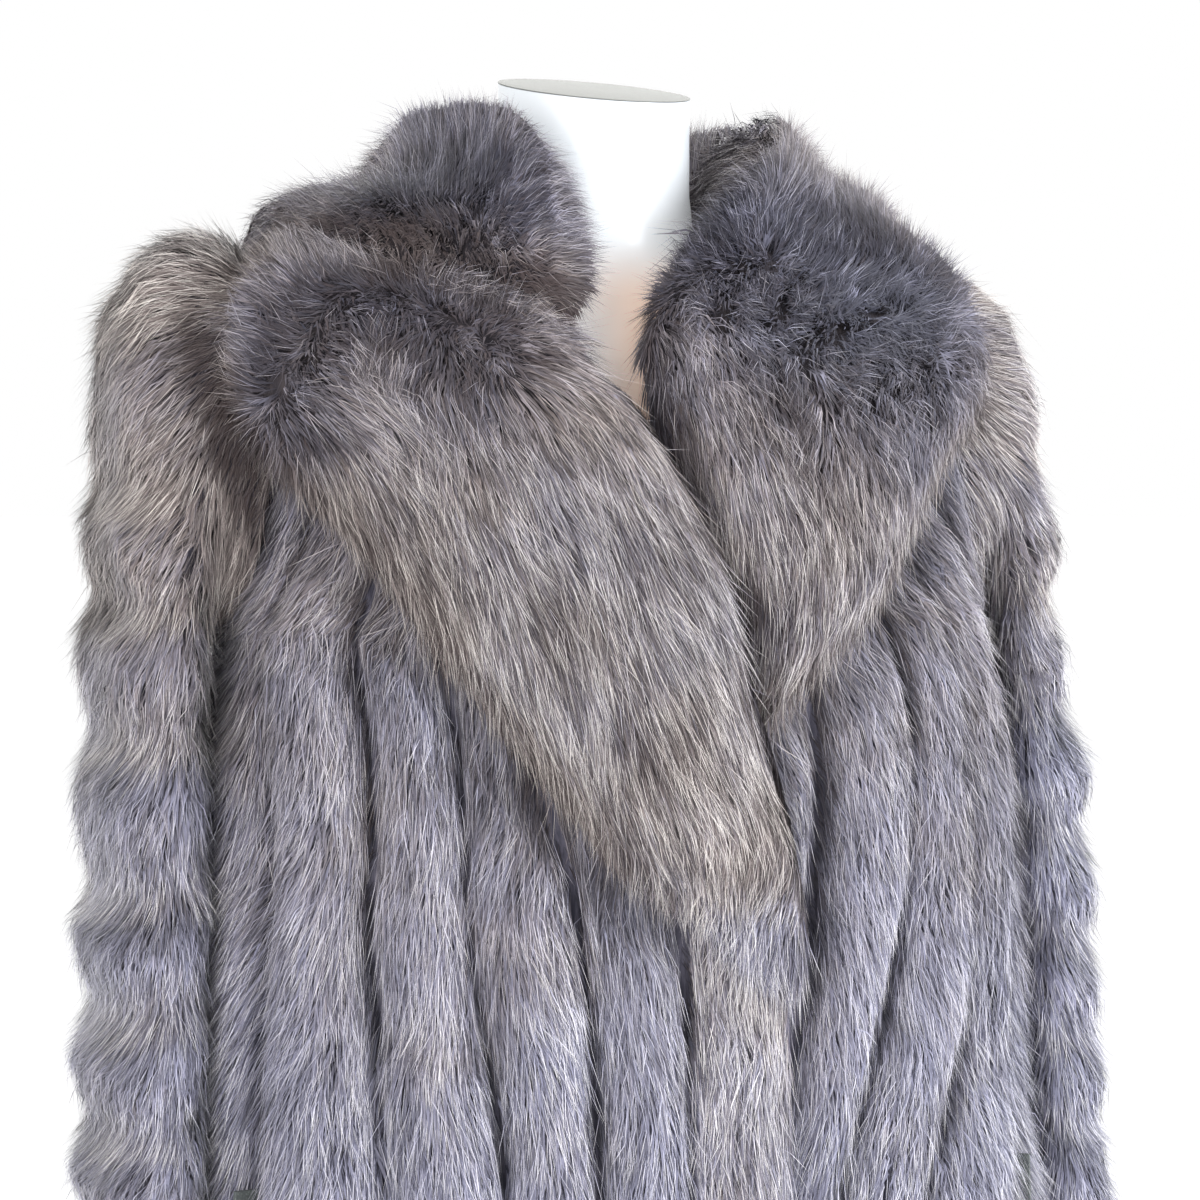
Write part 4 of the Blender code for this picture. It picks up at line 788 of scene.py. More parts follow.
def collarSurface():
    # Rings across the collar, station by station: foot on the coat, plus a rounded height.
    first, last = coat["collarTable"][0][0], coat["collarTable"][-1][0]
    foldLow, foldHigh = coat["foldSpan"]
    limits = (first, coat["foldPlace"] + foldLow, coat["foldPlace"] + foldHigh, last)
    spans = zip(limits[:-1], limits[1:], coat["collarStations"])
    along = np.concatenate([np.linspace(a, b, count, endpoint=False) for a, b, count in spans])
    along = np.append(along, limits[-1])
    found = through(coat["collarTable"], along)
    innerTurn, innerHeight, outerTurn, outerHeight, plump, stand, lean = found
    place, rise = collarSection(coat["overCuts"] + 1)
    place, rise = place[None, :], rise[None, :]
    turn = innerTurn[:, None] + (outerTurn - innerTurn)[:, None] * place
    height = innerHeight[:, None] + (outerHeight - innerHeight)[:, None] * place
    besideNeck = ease(1.15 - place / coat["neckSpan"])
    tall = plump[:, None] + coat["collarStand"] * stand[:, None] * besideNeck
    onRight = along[:, None] < 1.0
    rest = coat["pressed"] + coat["collarGap"] + np.where(onRight, lapLift(turn, height), 0.0)
    besideArm = ease(1.5 - fromSideSeam(turn) / 0.15)
    besideArm = besideArm * ease((height - coat["shoulderTip"] + 0.08) / 0.03)
    rest = rest + coat["shoulderLift"] * besideArm
    tucked = np.where(onRight, 0.0, lappedOver(turn, height))
    tall = tall + (np.minimum(tall, coat["tucked"]) - tall) * tucked
    rest = rest + (coat["lapped"] - coat["pressed"]) * tucked
    fromFold = along[:, None] - coat["foldPlace"] - coat["foldSlant"] * place
    fold = coat["foldDepth"] * np.exp(-(fromFold / coat["foldWidth"]) ** 2) * (1.0 - 0.7 * place)
    direction = normal(turn, height)
    direction[..., 2] += lean[:, None] * (1.0 - place) * coat["collarLean"]
    foot = standing(turn, height, rest)
    top = foot + unit(direction) * (tall * rise * (1.0 - fold))[..., None]
    return {
        "skin": besideSleeves(foot, foot), "top": besideSleeves(top, foot),
        "place": place[0], "along": along, "tucked": tucked, "wrap": False,
    }


def sleeveSurface(side):
    # Rings round the arm, with the fur along each ring's outward direction.
    count = 2 * coat["armholeRows"]
    around = np.arange(count) * 2 * math.pi / count
    cuts = np.arange(coat["tierCuts"]) / coat["tierCuts"]
    tiers = np.asarray(coat["sleeveTiers"])
    along = np.append((tiers[:-1, None] + np.diff(tiers)[:, None] * cuts).ravel(), tiers[-1])
    here, ring = along[:, None], around[None, :]
    step, turnStep = 0.003, 0.03
    down = sleeveLining(here + step, ring, side) - sleeveLining(here - step, ring, side)
    turning = sleeveLining(here, ring + turnStep, side) - sleeveLining(here, ring - turnStep, side)
    skin = sleeveLining(here, ring, side)
    top = skin + unit(np.cross(turning, down) * side) * sleeveFur(here, ring)[..., None]
    skin[0] = armholeRing(around, side, 0.0)
    top[0] = armholeRing(around, side, coat["seam"])
    return {"skin": skin, "top": top, "along": along, "around": around, "wrap": True}


# pelts and hair

def softNoise(points, size, seed):
    # Random values from 0 to 1 on a lattice of that spacing, smoothly blended between its
    # corners: the sum of each corner's value times the product of its shares.
    period = 24
    table = np.random.default_rng(seed).random((period, period, period))
    cell = points / size
    low = np.floor(cell).astype(int)
    share = ease(cell - low)
    found = 0.0
    for corner in np.ndindex(2, 2, 2):
        weight = np.prod(np.where(corner, share, 1.0 - share), axis=-1)
        index = (low + corner) % period
        found = found + weight * table[index[..., 0], index[..., 1], index[..., 2]]
    return found


def measured(surface, depth):
    # Adds the steps down and across the grid, the outward direction of the top, which is
    # unit(facing + 0.35 * stand), and the pelt. It lies under the top by the depth, or by 0.55 of
    # the fur where that is less.
    top, skin = surface["top"], surface["skin"]
    surface["down"] = np.gradient(top, axis=0)
    if surface["wrap"]:
        surface["across"] = (np.roll(top, -1, axis=1) - np.roll(top, 1, axis=1)) / 2
    else:
        surface["across"] = np.gradient(top, axis=1)
    stand = top - skin
    deep = np.linalg.norm(stand, axis=-1, keepdims=True)
    facing = np.cross(surface["down"], surface["across"])
    facing = facing * np.sign((facing * stand).sum(axis=-1, keepdims=True))
    surface["out"] = unit(unit(facing) + 0.35 * unit(stand))
    surface["pelt"] = top - unit(stand) * np.minimum(0.55 * deep, depth)
    return surface


def readGrid(values, row, column, wrap):
    # Bilinear between four points of the grid. Just outside it, its last cells go straight on.
    rows, columns = values.shape[:2]
    high = np.clip(np.floor(row).astype(int), 0, rows - 2)
    v = (row - high)[:, None]
    if wrap:
        left = np.floor(column).astype(int)
        u = (column - left)[:, None]
        right = (left + 1) % columns
        left = left % columns
    else:
        left = np.clip(np.floor(column).astype(int), 0, columns - 2)
        u = (column - left)[:, None]
        right = left + 1
    upper = values[high, left] * (1 - u) + values[high, right] * u
    lower = values[high + 1, left] * (1 - u) + values[high + 1, right] * u
    return upper * (1 - v) + lower * v


def sampled(surface, key, row, column):
    # One field of a surface at places between its grid points.
    return readGrid(surface[key], row, column, surface["wrap"])


def gridStep(surface, row, column, move):
    # How many rows and columns a small move over the top is: the least squares answer, kept to
    # what the most is on a grid with square corners times a limit.
    down, across = sampled(surface, "down", row, column), sampled(surface, "across", row, column)
    a, b, c = (down * down).sum(1), (down * across).sum(1), (across * across).sum(1)
    p, q = (move * down).sum(1), (move * across).sum(1)
    det = np.maximum(a * c - b * b, 0.05 * a * c + 1e-16)
    length = 1.6 * np.linalg.norm(move, axis=1)
    rowLimit, columnLimit = length / np.sqrt(a + 1e-12), length / np.sqrt(c + 1e-12)
    rowStep = np.clip((c * p - b * q) / det, -rowLimit, rowLimit)
    columnStep = np.clip((a * q - b * p) / det, -columnLimit, columnLimit)
    return rowStep, columnStep


def nearer(vectors, limit):
    # Vectors that are no longer than the limit.
    size = np.linalg.norm(vectors, axis=-1)
    return vectors * np.minimum(1.0, limit / np.maximum(size, 1e-9))[:, None]


def rootPlaces(surface, hair, rng):
    # Rows and columns of the roots. Hair number i stands in the cell where the running sum of
    # area times density reaches (i + random) / count of its whole.
    count = hair["count"]
    area = np.linalg.norm(np.cross(surface["down"], surface["across"]), axis=-1)
    area = area * surface["density"]
    if not surface["wrap"]:
        area = (area[:, :-1] + area[:, 1:]) / 2
    area = (area[:-1] + area[1:]) / 2
    total = np.cumsum(area.ravel())
    chosen = np.searchsorted(total / total[-1], (np.arange(count) + rng.random(count)) / count)
    chosen = np.minimum(chosen, area.size - 1)
    row = chosen // area.shape[1] + rng.random(count)
    column = chosen % area.shape[1] + rng.random(count)
    return row, column


def fieldsAt(surface, row, column):
    # The surface's fields and its outward direction at each root.
    keys = ("open", "curl", "warm", "pale", "dark", "long", "raise", "cover", "parted")
    flat = np.ones(surface["top"].shape[:2])
    stacked = np.stack([surface.get(key, 0.0) * flat for key in keys], axis=-1)
    at = dict(zip(keys, readGrid(stacked, row, column, surface["wrap"]).T))
    at["out"] = unit(sampled(surface, "out", row, column))
    at["row"], at["column"] = row, column
    return at


def lockPlaces(surface, hair, at, rng):
    # Locks are cells of the surface in metres, and each band of them is shifted by a random part.
    # A lock's six random values are those in row (cell * p) xor (band * q) of a table, with p and
    # q prime. Its middle is a grid place, and rim is the squared distance from the cell's centre.
    lotCount, cellPrime, bandPrime = 8192, 73856093, 19349663
    wide, tall = hair["lock"]
    rows = np.arange(len(surface["top"]))
    steps = np.linalg.norm(surface["down"], axis=-1).mean(1)
    rowPlace = np.concatenate([[0.0], np.cumsum(steps)[1:]])
    columnSize = np.linalg.norm(surface["across"], axis=-1).mean(1)
    u = np.interp(at["row"], rows, rowPlace) / tall
    v = at["column"] * np.interp(at["row"], rows, columnSize) / wide
    lots = rng.random((lotCount, 6))
    band = np.floor(v).astype(int)
    shift = lots[band % lotCount, 0]
    u = u + shift
    cell = np.floor(u).astype(int)
    lot = lots[((cell * cellPrime) ^ (band * bandPrime)) % lotCount]
    middleU = (cell + 0.5 + 0.5 * (lot[:, 1] - 0.5) - shift) * tall
    middleV = (band + 0.5 + 0.5 * (lot[:, 2] - 0.5)) * wide
    at["lot"] = lot
    at["middleRow"] = np.interp(middleU, rowPlace, rows)
    at["middleColumn"] = middleV / np.interp(at["middleRow"], rows, columnSize)
    at["rim"] = (u - cell - 0.5) ** 2 + (v - band - 0.5) ** 2


def hairKinds(surface, hair, at, rng):
    # The softer, shorter hair below, plain hairs, which are straight with their upper part alone,
    # and strays. Where the hair curls, small tufts turn by 6 * curl * (noise - 0.5), and specks
    # break up its dark places.
    count = hair["count"]
    origin = sampled(surface, "top", at["row"], at["column"])
    at["swirl"] = 6.0 * at["curl"] * (softNoise(origin, 0.011, hair["seed"] + 50) - 0.5)
    at["speck"] = softNoise(origin, 0.0055, hair["seed"] + 60)
    at["under"] = rng.random(count) < hair["under"]
    at["plain"] = (rng.random(count) < hair["plain"]) & ~at["under"]
    at["stray"] = (rng.random(count) < hair["stray"]) & ~at["under"] & ~at["plain"]


def aimHair(surface, hair, at, rng):
    # Heading is flow * cos(swing) + sideways * sin(swing), with the flow laid into the surface.
    # Length is the piece's length times the field's, the lock's and a random share.
    count, out, lot = hair["count"], at["out"], at["lot"]
    swing = rng.normal(0.0, 1.0, count) * np.where(at["under"], 0.5, 1.0)
    swing = swing * (1.0 + 1.2 * at["stray"])
    swing = hair["swing"] * (1.6 * (lot[:, 4] - 0.5) + swing)
    swing = swing + at["open"] * rng.normal(0.0, 0.75, count) + at["swirl"]
    flow = unit(sampled(surface, "flow", at["row"], at["column"]))
    flow = unit(flow - out * (flow * out).sum(1, keepdims=True))
    at["heading"] = flow * np.cos(swing)[:, None] + np.cross(flow, out) * np.sin(swing)[:, None]
    length = hair["length"] * at["long"] * (0.82 + 0.3 * lot[:, 5]) * rng.uniform(0.72, 1.1, count)
    at["length"] = length * (1.0 - 0.68 * at["open"]) * np.where(at["under"], 0.80, 1.0)


def stripEnds(surface, hair, at, rng):
    # The lowest and highest column that each hair may reach. On a panel of strips most locks keep
    # to their own strip, and a few reach over its seam. Other hair may go anywhere.
    parted = at["parted"]
    margin = 0.7 - 3.2 * at["lot"][:, 0] ** 2 * (1.0 - parted)
    margin = margin + (0.5 + 0.4 * parted) * rng.random(hair["count"])
    if not hair.get("fence"):
        return -np.inf, np.inf
    low = np.floor(at["column"] / coat["stripCuts"]) * coat["stripCuts"]
    high = low + coat["stripCuts"]
    last = surface["top"].shape[1] - 1.0
    free = 9.0
    return np.where(low > 0, low + margin, -free), np.where(high < last, high - margin, last + free)


def pastEnds(surface, hair, row, column):
    # 0 on the part of the grid that the hair follows, and 1 from 2.5 rows or columns past it.
    rows, columns = surface["top"].shape[:2]
    looseColumns, looseRows = hair["loose"]
    ends = (looseRows - row, row - (rows - 1 - looseRows))
    if not surface["wrap"]:
        ends += (looseColumns - column, column - (columns - 1 - looseColumns))
    return ease(np.max(ends, axis=0) / 2.5)[:, None]


def between(surface, row, column, share):
    # A place between pelt and top: pelt + (top - pelt) * share.
    low = sampled(surface, "pelt", row, column)
    return low + (sampled(surface, "top", row, column) - low) * share[:, None]


def layHair(surface, hair, at, rng):
    # Root, bend and tip. Each half of a hair moves by half of its length along its heading, and
    # is drawn to the middle of its lock: place + step + share * pull * (middle - root).
    bendPull, tipPull, rootShare = 0.35, 0.65, -0.25
    count, row, column = hair["count"], at["row"], at["column"]
    under, heading, out = at["under"], at["heading"], at["out"]
    straight = (0.5 * at["length"])[:, None]
    pull = hair["pull"] * (0.5 + at["lot"][:, 3]) * (1.0 - 0.6 * at["open"])
    pull = pull * (1.0 - 0.5 * at["curl"])
    lowest, highest = stripEnds(surface, hair, at, rng)
    rowStep, columnStep = gridStep(surface, row, column, heading * straight)
    bendRow = row + rowStep + bendPull * pull * (at["middleRow"] - row)
    bendColumn = column + columnStep + bendPull * pull * (at["middleColumn"] - column)
    bendColumn = np.clip(bendColumn, lowest, highest)
    onRows = np.clip(bendRow, 0, len(surface["top"]) - 1)
    later = sampled(surface, "flow", onRows, bendColumn)
    wave = rng.normal(0.0, hair["wave"], count)[:, None] + 0.6 * at["swirl"][:, None]
    turned = unit(heading + 0.8 * unit(later) + np.cross(heading, out) * np.clip(wave, -1.2, 1.2))
    rowStep, columnStep = gridStep(surface, bendRow, bendColumn, turned * straight)
    tipRow = bendRow + rowStep + tipPull * pull * (at["middleRow"] - row)
    tipColumn = bendColumn + columnStep + tipPull * pull * (at["middleColumn"] - column)
    tipColumn = np.clip(tipColumn, lowest, highest)

    root = between(surface, row, column, np.full(count, rootShare))
    bendShare = np.where(under, 0.62, 0.80) + rng.uniform(-0.15, 0.12, count)
    bend = between(surface, bendRow, bendColumn, bendShare)
    tip = between(surface, tipRow, tipColumn, np.where(under, 0.85, 1.0))
    rising = at["raise"]
    fly = hair["fly"] * (rng.random(count) ** 2.5 - 0.2) + rising * (0.4 + 0.6 * rng.random(count))
    halo = hair["halo"] * (0.4 + rng.random(count)) * at["stray"]
    fly = np.where(under, 0.6 * rising - 0.001, fly + halo)
    # Past the grid's ends hair goes straight on.
    start = between(surface, row, column, np.where(under, 0.5, 0.75))
    bend = bend + (start + heading * straight - bend) * pastEnds(surface, hair, bendRow, bendColumn)
    onward = bend + unit(heading + 0.3 * turned) * straight
    tip = tip + (onward - tip) * pastEnds(surface, hair, tipRow, tipColumn)
    tip = tip + out * fly[:, None]
    bend = bend + out * (0.35 * fly)[:, None]
    bend = root + nearer(bend - root, 0.75 * at["length"] + 0.008)
    tip = bend + nearer(tip - bend, 0.75 * at["length"] + 0.006)
    return root, bend, tip


def bladePoints(hair, at, root, bend, tip, rng):
    # Bent blades have four points: the root under the pelt, two sides at the bend and the tip at
    # the top of the fur. Plain ones have three: two sides a little above the root, and the tip.
    # The sides stand apart along side * cos(roll) + out * sin(roll), and the light falls on each
    # blade as if it faced out + side * lean + 0.18 * heading + upward.
    count, out = hair["count"], at["out"]
    roll = rng.normal(0.0, 0.5, count) * np.where(at["under"], 0.4, 1.0)
    side = unit(np.cross(tip - root, out))
    side = side * np.cos(roll)[:, None] + out * np.sin(roll)[:, None]
    width = hair["width"] * rng.uniform(0.65, 1.15, count)
    width = width * np.where(at["under"], hair["broad"], 1.0) * np.where(at["stray"], 0.7, 1.0)
    half = side * (0.5 * width)[:, None]
    foot = root + 0.55 * (bend - root)
    bentPoints = np.stack([root, bend + half, bend - half, tip], axis=1)[~at["plain"]]
    plainPoints = np.stack([foot + half, foot - half, tip], axis=1)[at["plain"]]
    lean = rng.normal(0.0, 0.30, count) * np.where(at["under"], 0.4, 1.0)
    lean = (lean + 0.5 * (at["lot"][:, 2] - 0.5))[:, None]
    upward = 0.4 * at["cover"][:, None] * np.array([0.0, -0.6, 0.9])
    shading = unit(out + side * lean + 0.18 * at["heading"] + upward)
    points = np.concatenate([bentPoints.reshape(-1, 3), plainPoints.reshape(-1, 3)])
    return points, spread(shading, ~at["plain"])


def hairMarks(hair, at, rng):
    # What the fur's look reads at each point: the place along the hair, its tone, warmth and
    # paleness, and shade, which is the field's darkness in specks and grows with painted shade at a
    # lock's rim.
    count, under, stray, bent = hair["count"], at["under"], at["stray"], ~at["plain"]
    deep = rng.random(count) < hair["deep"]
    tone = np.where(deep, 0.25 * rng.random(count), 0.45 + 0.55 * rng.random(count))
    tone = np.where(under, 0.30 + 0.15 * rng.random(count), tone)
    tone = np.clip(tone + hair["streak"] * (at["lot"][:, 1] - 0.5), 0.0, 1.0)
    # Strays are paler and less dark: partly their own pale colour, partly a painted backlit glow
    # where they stand off at the rim.
    tone = np.where(stray, 0.50 + 0.50 * tone, tone)
    dark = at["dark"] * (0.2 + 1.6 * at["speck"]) * np.where(stray, 0.5, 1.0)
    # Painted shade between the locks: blades at a lock's rim are darker.
    dark = dark + hair["rim"] * at["rim"] * (0.5 + at["lot"][:, 4])
    pale = np.where(stray, np.maximum(at["pale"], 0.5), at["pale"]) * np.where(under, 0.10, 1.0)
    warm = at["warm"] + 0.10 * rng.normal(0.0, 1.0, count)
    # Where the fur ends at an edge, its dark feet would show, so the colour starts higher up.
    start, ends = 0.50 * at["cover"], np.ones(count)
    side, foot = np.maximum(start, 0.5), np.maximum(start, 0.34)
    along = np.stack([start, side, side, ends], axis=1)[bent].ravel()
    plainAlong = np.stack([foot, foot, ends], axis=1)[at["plain"]].ravel()
    return {
        "along": np.concatenate([along, plainAlong]),
        "tone": spread(tone, bent),
        "warmth": spread(np.clip(warm, 0.0, 1.0), bent),
        "pale": spread(pale, bent),
        "shade": spread(np.clip(dark, 0.0, 1.0), bent),
    }


def growHair(name, surface, hair, look):
    # Hair on a surface as one mesh of blades: two triangles for a bent blade, one for a plain one.
    rng = np.random.default_rng(hair["seed"])
    at = fieldsAt(surface, *rootPlaces(surface, hair, rng))
    lockPlaces(surface, hair, at, rng)
    hairKinds(surface, hair, at, rng)
    aimHair(surface, hair, at, rng)
    root, bend, tip = layHair(surface, hair, at, rng)
    points, shading = bladePoints(hair, at, root, bend, tip, rng)
    marks = hairMarks(hair, at, rng)

    plainCount = int(at["plain"].sum())
    bentCount = hair["count"] - plainCount
    bentCorners = 4 * np.arange(bentCount)[:, None] + np.array([0, 1, 2, 1, 3, 2])
    plainCorners = 4 * bentCount + 3 * np.arange(plainCount)[:, None] + np.array([0, 2, 1])
    corners = np.concatenate([bentCorners.ravel(), plainCorners.ravel()])
    # Every blade has a cell of its own in the map, which it fills.
    number = np.arange(hair["count"])
    wide = int(math.ceil(math.sqrt(hair["count"])))
    spot = np.stack([number % wide, number // wide], axis=-1)[:, None, :]
    near, far = 0.04, 0.96
    first = [[near, near], [far, near], [near, far]]
    shape = np.array(first + [[far, near], [far, far], [near, far]])
    bentCells = ((spot[:bentCount] + shape) / wide).reshape(-1, 2)
    plainCells = ((spot[bentCount:] + shape[[0, 4, 2]]) / wide).reshape(-1, 2)
    cells = np.concatenate([bentCells, plainCells])

    made = addMesh(name, points, corners, np.full(len(corners) // 3, 3), look)
    for key, values in marks.items():
        attribute = made.data.attributes.new(key, "FLOAT", "POINT")
        attribute.data.foreach_set("value", values.astype(np.float32))
    sheet = made.data.uv_layers.new(name="OFBake")
    sheet.data.foreach_set("uv", cells.astype(np.float32).ravel())
    attribute = made.data.attributes.new("custom_normal", "FLOAT_VECTOR", "POINT")
    attribute.data.foreach_set("vector", shading.astype(np.float32).ravel())
    return made


def spread(values, bent):
    # One value for each blade, repeated for the four points of bent ones, then three of plain ones.
    return np.concatenate([np.repeat(values[bent], 4, axis=0), np.repeat(values[~bent], 3, axis=0)])


def addMesh(name, points, corners, sizes, look):
    # A mesh from whole arrays: points, corner indices face after face, and each face's corners.
    mesh = bpy.data.meshes.new(name)
    mesh.vertices.add(len(points))
    mesh.vertices.foreach_set("co", np.asarray(points, np.float32).ravel())
    mesh.loops.add(len(corners))
    mesh.loops.foreach_set("vertex_index", np.asarray(corners, np.int32))
    mesh.polygons.add(len(sizes))
    starts = np.concatenate([[0], np.cumsum(sizes)[:-1]])
    mesh.polygons.foreach_set("loop_start", starts.astype(np.int32))
    mesh.update(calc_edges=True)
    mesh.polygons.foreach_set("use_smooth", np.ones(len(sizes), bool))
    mesh.materials.append(look)
    made = bpy.data.objects.new(name, mesh)
    scene.collection.objects.link(made)
    return made


def addPelt(name, outer, inner, look, wrap=False):
    # A closed thin wall: a fine outer grid, a plain inner one, and the rims that join them.
    outerIds = np.arange(outer.shape[0] * outer.shape[1]).reshape(outer.shape[:2])
    innerIds = np.arange(inner.shape[0] * inner.shape[1]).reshape(inner.shape[:2]) + outerIds.size
    faces = gridFaces(outerIds, wrap) + flipped(gridFaces(innerIds, wrap))
    if wrap:
        outerIds = np.concatenate([outerIds, outerIds[:, :1]], axis=1)
        innerIds = np.concatenate([innerIds, innerIds[:, :1]], axis=1)
    faces += joinEdges(outerIds[0], innerIds[0])
    faces += flipped(joinEdges(outerIds[-1], innerIds[-1]))
    if not wrap:
        faces += flipped(joinEdges(outerIds[:, 0], innerIds[:, 0]))
        faces += joinEdges(outerIds[:, -1], innerIds[:, -1])
    points = np.concatenate([outer.reshape(-1, 3), inner.reshape(-1, 3)])
    return facedOut(name, points, faces, look)


def facedOut(name, points, faces, look):
    # Turns all faces round where the mesh holds a negative volume.
    corners = np.array([corner for face in faces for corner in face])
    sizes = np.array([len(face) for face in faces])
    made = addMesh(name, points, corners, sizes, look)
    made.data.calc_loop_triangles()
    ids = np.zeros(3 * len(made.data.loop_triangles), np.int32)
    made.data.loop_triangles.foreach_get("vertices", ids)
    if np.linalg.det(points[ids.reshape(-1, 3)] - points.mean(axis=0)).sum() < 0:
        made.data.flip_normals()
    return made


def closedRings(name, rings, look):
    # Rings joined one to the next, with a flat face at each end.
    ids = np.arange(rings.shape[0] * rings.shape[1]).reshape(rings.shape[:2])
    faces = gridFaces(ids, True) + [ids[0][::-1].tolist(), ids[-1].tolist()]
    return facedOut(name, rings.reshape(-1, 3), faces, look)


def strided(grid, rowStep, columnStep, wrap=False):
    # Every few rows and columns of a grid, always with its last ones.
    rows = np.unique(np.append(np.arange(0, grid.shape[0], rowStep), grid.shape[0] - 1))
    columns = np.arange(0, grid.shape[1], columnStep)
    if not wrap:
        columns = np.unique(np.append(columns, grid.shape[1] - 1))
    return grid[rows][:, columns]


# looks

def makeFurGroup(colours):
    # The hair's colour along its length: dark root, coloured middle, paler tip. Warmth moves the
    # middle and the tip from blue grey to brown grey, and shade darkens the whole hair.
    tree = bpy.data.node_groups.new("fur_colour", "ShaderNodeTree")
    tree.interface.new_socket("Colour", in_out="OUTPUT", socket_type="NodeSocketColor")
    tree.interface.new_socket("Roughness", in_out="OUTPUT", socket_type="NodeSocketFloat")
    result = tree.nodes.new("NodeGroupOutput")
    marks = {}
    for key in ("along", "tone", "warmth", "pale", "shade"):
        node = tree.nodes.new("ShaderNodeAttribute")
        node.attribute_name = key
        marks[key] = node.outputs["Fac"]
    # Warmth in soft patches: marked warmth + 0.7 * noise - 0.35.
    patches = noiseAt(tree, 16.0, 3.0)
    shifted = calc(tree, "SUBTRACT", marks["warmth"], 0.35)
    warmth = calc(tree, "MULTIPLY_ADD", patches, 0.7, shifted)
    warm = ramp(tree, warmth, 0.0, 1.0)
    root = mixColours(tree, warm, colours["rootBlue"], colours["rootBrown"])
    middle = mixColours(tree, warm, colours["middleBlue"], colours["middleBrown"])
    tip = mixColours(tree, warm, colours["tipBlue"], colours["tipBrown"])
    # Brighter and darker hairs, then the way from root to tip.
    bright = ramp(tree, marks["tone"], 0.0, 1.0)
    deep = mixColours(tree, 0.74, middle, (0.0, 0.0, 0.0))
    middle = mixColours(tree, bright, deep, middle)
    lower = ramp(tree, marks["along"], 0.0, 0.48)
    colour = mixColours(tree, lower, root, middle)
    upper = ramp(tree, marks["along"], 0.35, 0.85)
    silver = calc(tree, "MULTIPLY", ramp(tree, marks["tone"], 0.50, 0.88), marks["pale"])
    reach = calc(tree, "MULTIPLY", silver, upper)
    colour = mixColours(tree, reach, colour, tip)
    dark = ramp(tree, marks["shade"], 0.0, 1.0, 0.0, 0.93)
    colour = mixColours(tree, dark, colour, root)
    tree.links.new(colour, result.inputs["Colour"])
    tree.links.new(ramp(tree, marks["tone"], 0.0, 1.0, 0.62, 0.42), result.inputs["Roughness"])
    return tree


def makeFurLook(name, group, sheen):
    # Hair: the shared colour on a soft, slightly shiny fibre.
    look, tree, shader = newLook(name, 0.5, 0.35)
    effect = tree.nodes.new("ShaderNodeGroup")
    effect.node_tree = group
    painted(tree, shader, effect.outputs["Colour"], effect.outputs["Roughness"])
    shader.inputs["Sheen Weight"].default_value = sheen
    shader.inputs["Sheen Roughness"].default_value = 0.5
    return look


def makePeltLook(name, dark, light):
    # Dense short underfur: streaks that run down, in patches, with a fine bump.
    look, tree, shader = newLook(name, 0.85, 0.2)
    streaks = noiseAt(tree, 260.0, 3.0, (1.0, 1.0, 0.16))
    patches = noiseAt(tree, 22.0, 3.0)
    colour = mixColours(tree, ramp(tree, streaks, 0.3, 0.75), dark, light)
    shade = ramp(tree, patches, 0.3, 0.7, 0.0, 0.5)
    colour = mixColours(tree, shade, colour, dark)
    painted(tree, shader, colour)
    addBump(tree, shader, streaks, 0.8, 0.002)
    return look


def makeFormLook():
    # Moulded gloss white with faint waves, dust and rubs. Low in the neck it is painted lighter, as
    # painted light against the fur's shade, and in the deepest part of the neckline it is painted
    # warm, as a painted reflection of the coat's fur.
    look, tree, shader = newLook("form_gloss", 0.16, 0.5)
    dust = noiseAt(tree, 30.0, 4.0)
    rubs = noiseAt(tree, 180.0, 4.0, (1.0, 1.0, 0.2))
    waves = noiseAt(tree, 9.0, 1.0)
    colour = mixColours(tree, dust, (0.70, 0.735, 0.76), (0.65, 0.69, 0.725))
    split = tree.nodes.new("ShaderNodeSeparateXYZ")
    tree.links.new(objectPlace(tree), split.inputs["Vector"])
    # Painted light: low in the neck the white is paler, against the shade of the fur round it.
    foot = ramp(tree, split.outputs["Z"], 1.440, 1.37)
    colour = mixColours(tree, foot, colour, (0.90, 0.93, 0.95))
    # Painted reflection: the warm tint low in the neckline stands for light from the coat's fur.
    low = ramp(tree, split.outputs["Z"], 1.385, 1.345)
    left = ramp(tree, split.outputs["X"], -0.045, 0.004, 0.05, 1.0)
    tint = calc(tree, "MULTIPLY", low, left)
    colour = mixColours(tree, tint, colour, (0.97, 0.72, 0.58))
    painted(tree, shader, colour, ramp(tree, rubs, 0.2, 0.8, 0.26, 0.40))
    shader.inputs["Coat Weight"].default_value = 0.4
    shader.inputs["Coat Roughness"].default_value = 0.22
    # A faint painted glow: the colour, with its paler and warm parts, is also given out as light.
    tree.links.new(colour, shader.inputs["Emission Color"])
    shader.inputs["Emission Strength"].default_value = 0.16
    addBump(tree, shader, waves, 0.15, 0.004)
    return look


def makeCapLook():
    # Satin light grey with a fine sprayed grain.
    look, tree, shader = newLook("form_cap", 0.5, 0.12)
    grain = noiseAt(tree, 900.0, 2.0)
    cloud = noiseAt(tree, 35.0, 3.0)
    colour = mixColours(tree, cloud, (0.28, 0.283, 0.265), (0.26, 0.263, 0.245))
    painted(tree, shader, colour, ramp(tree, grain, 0.2, 0.8, 0.50, 0.64))
    addBump(tree, shader, grain, 0.2, 0.0004)
    return look


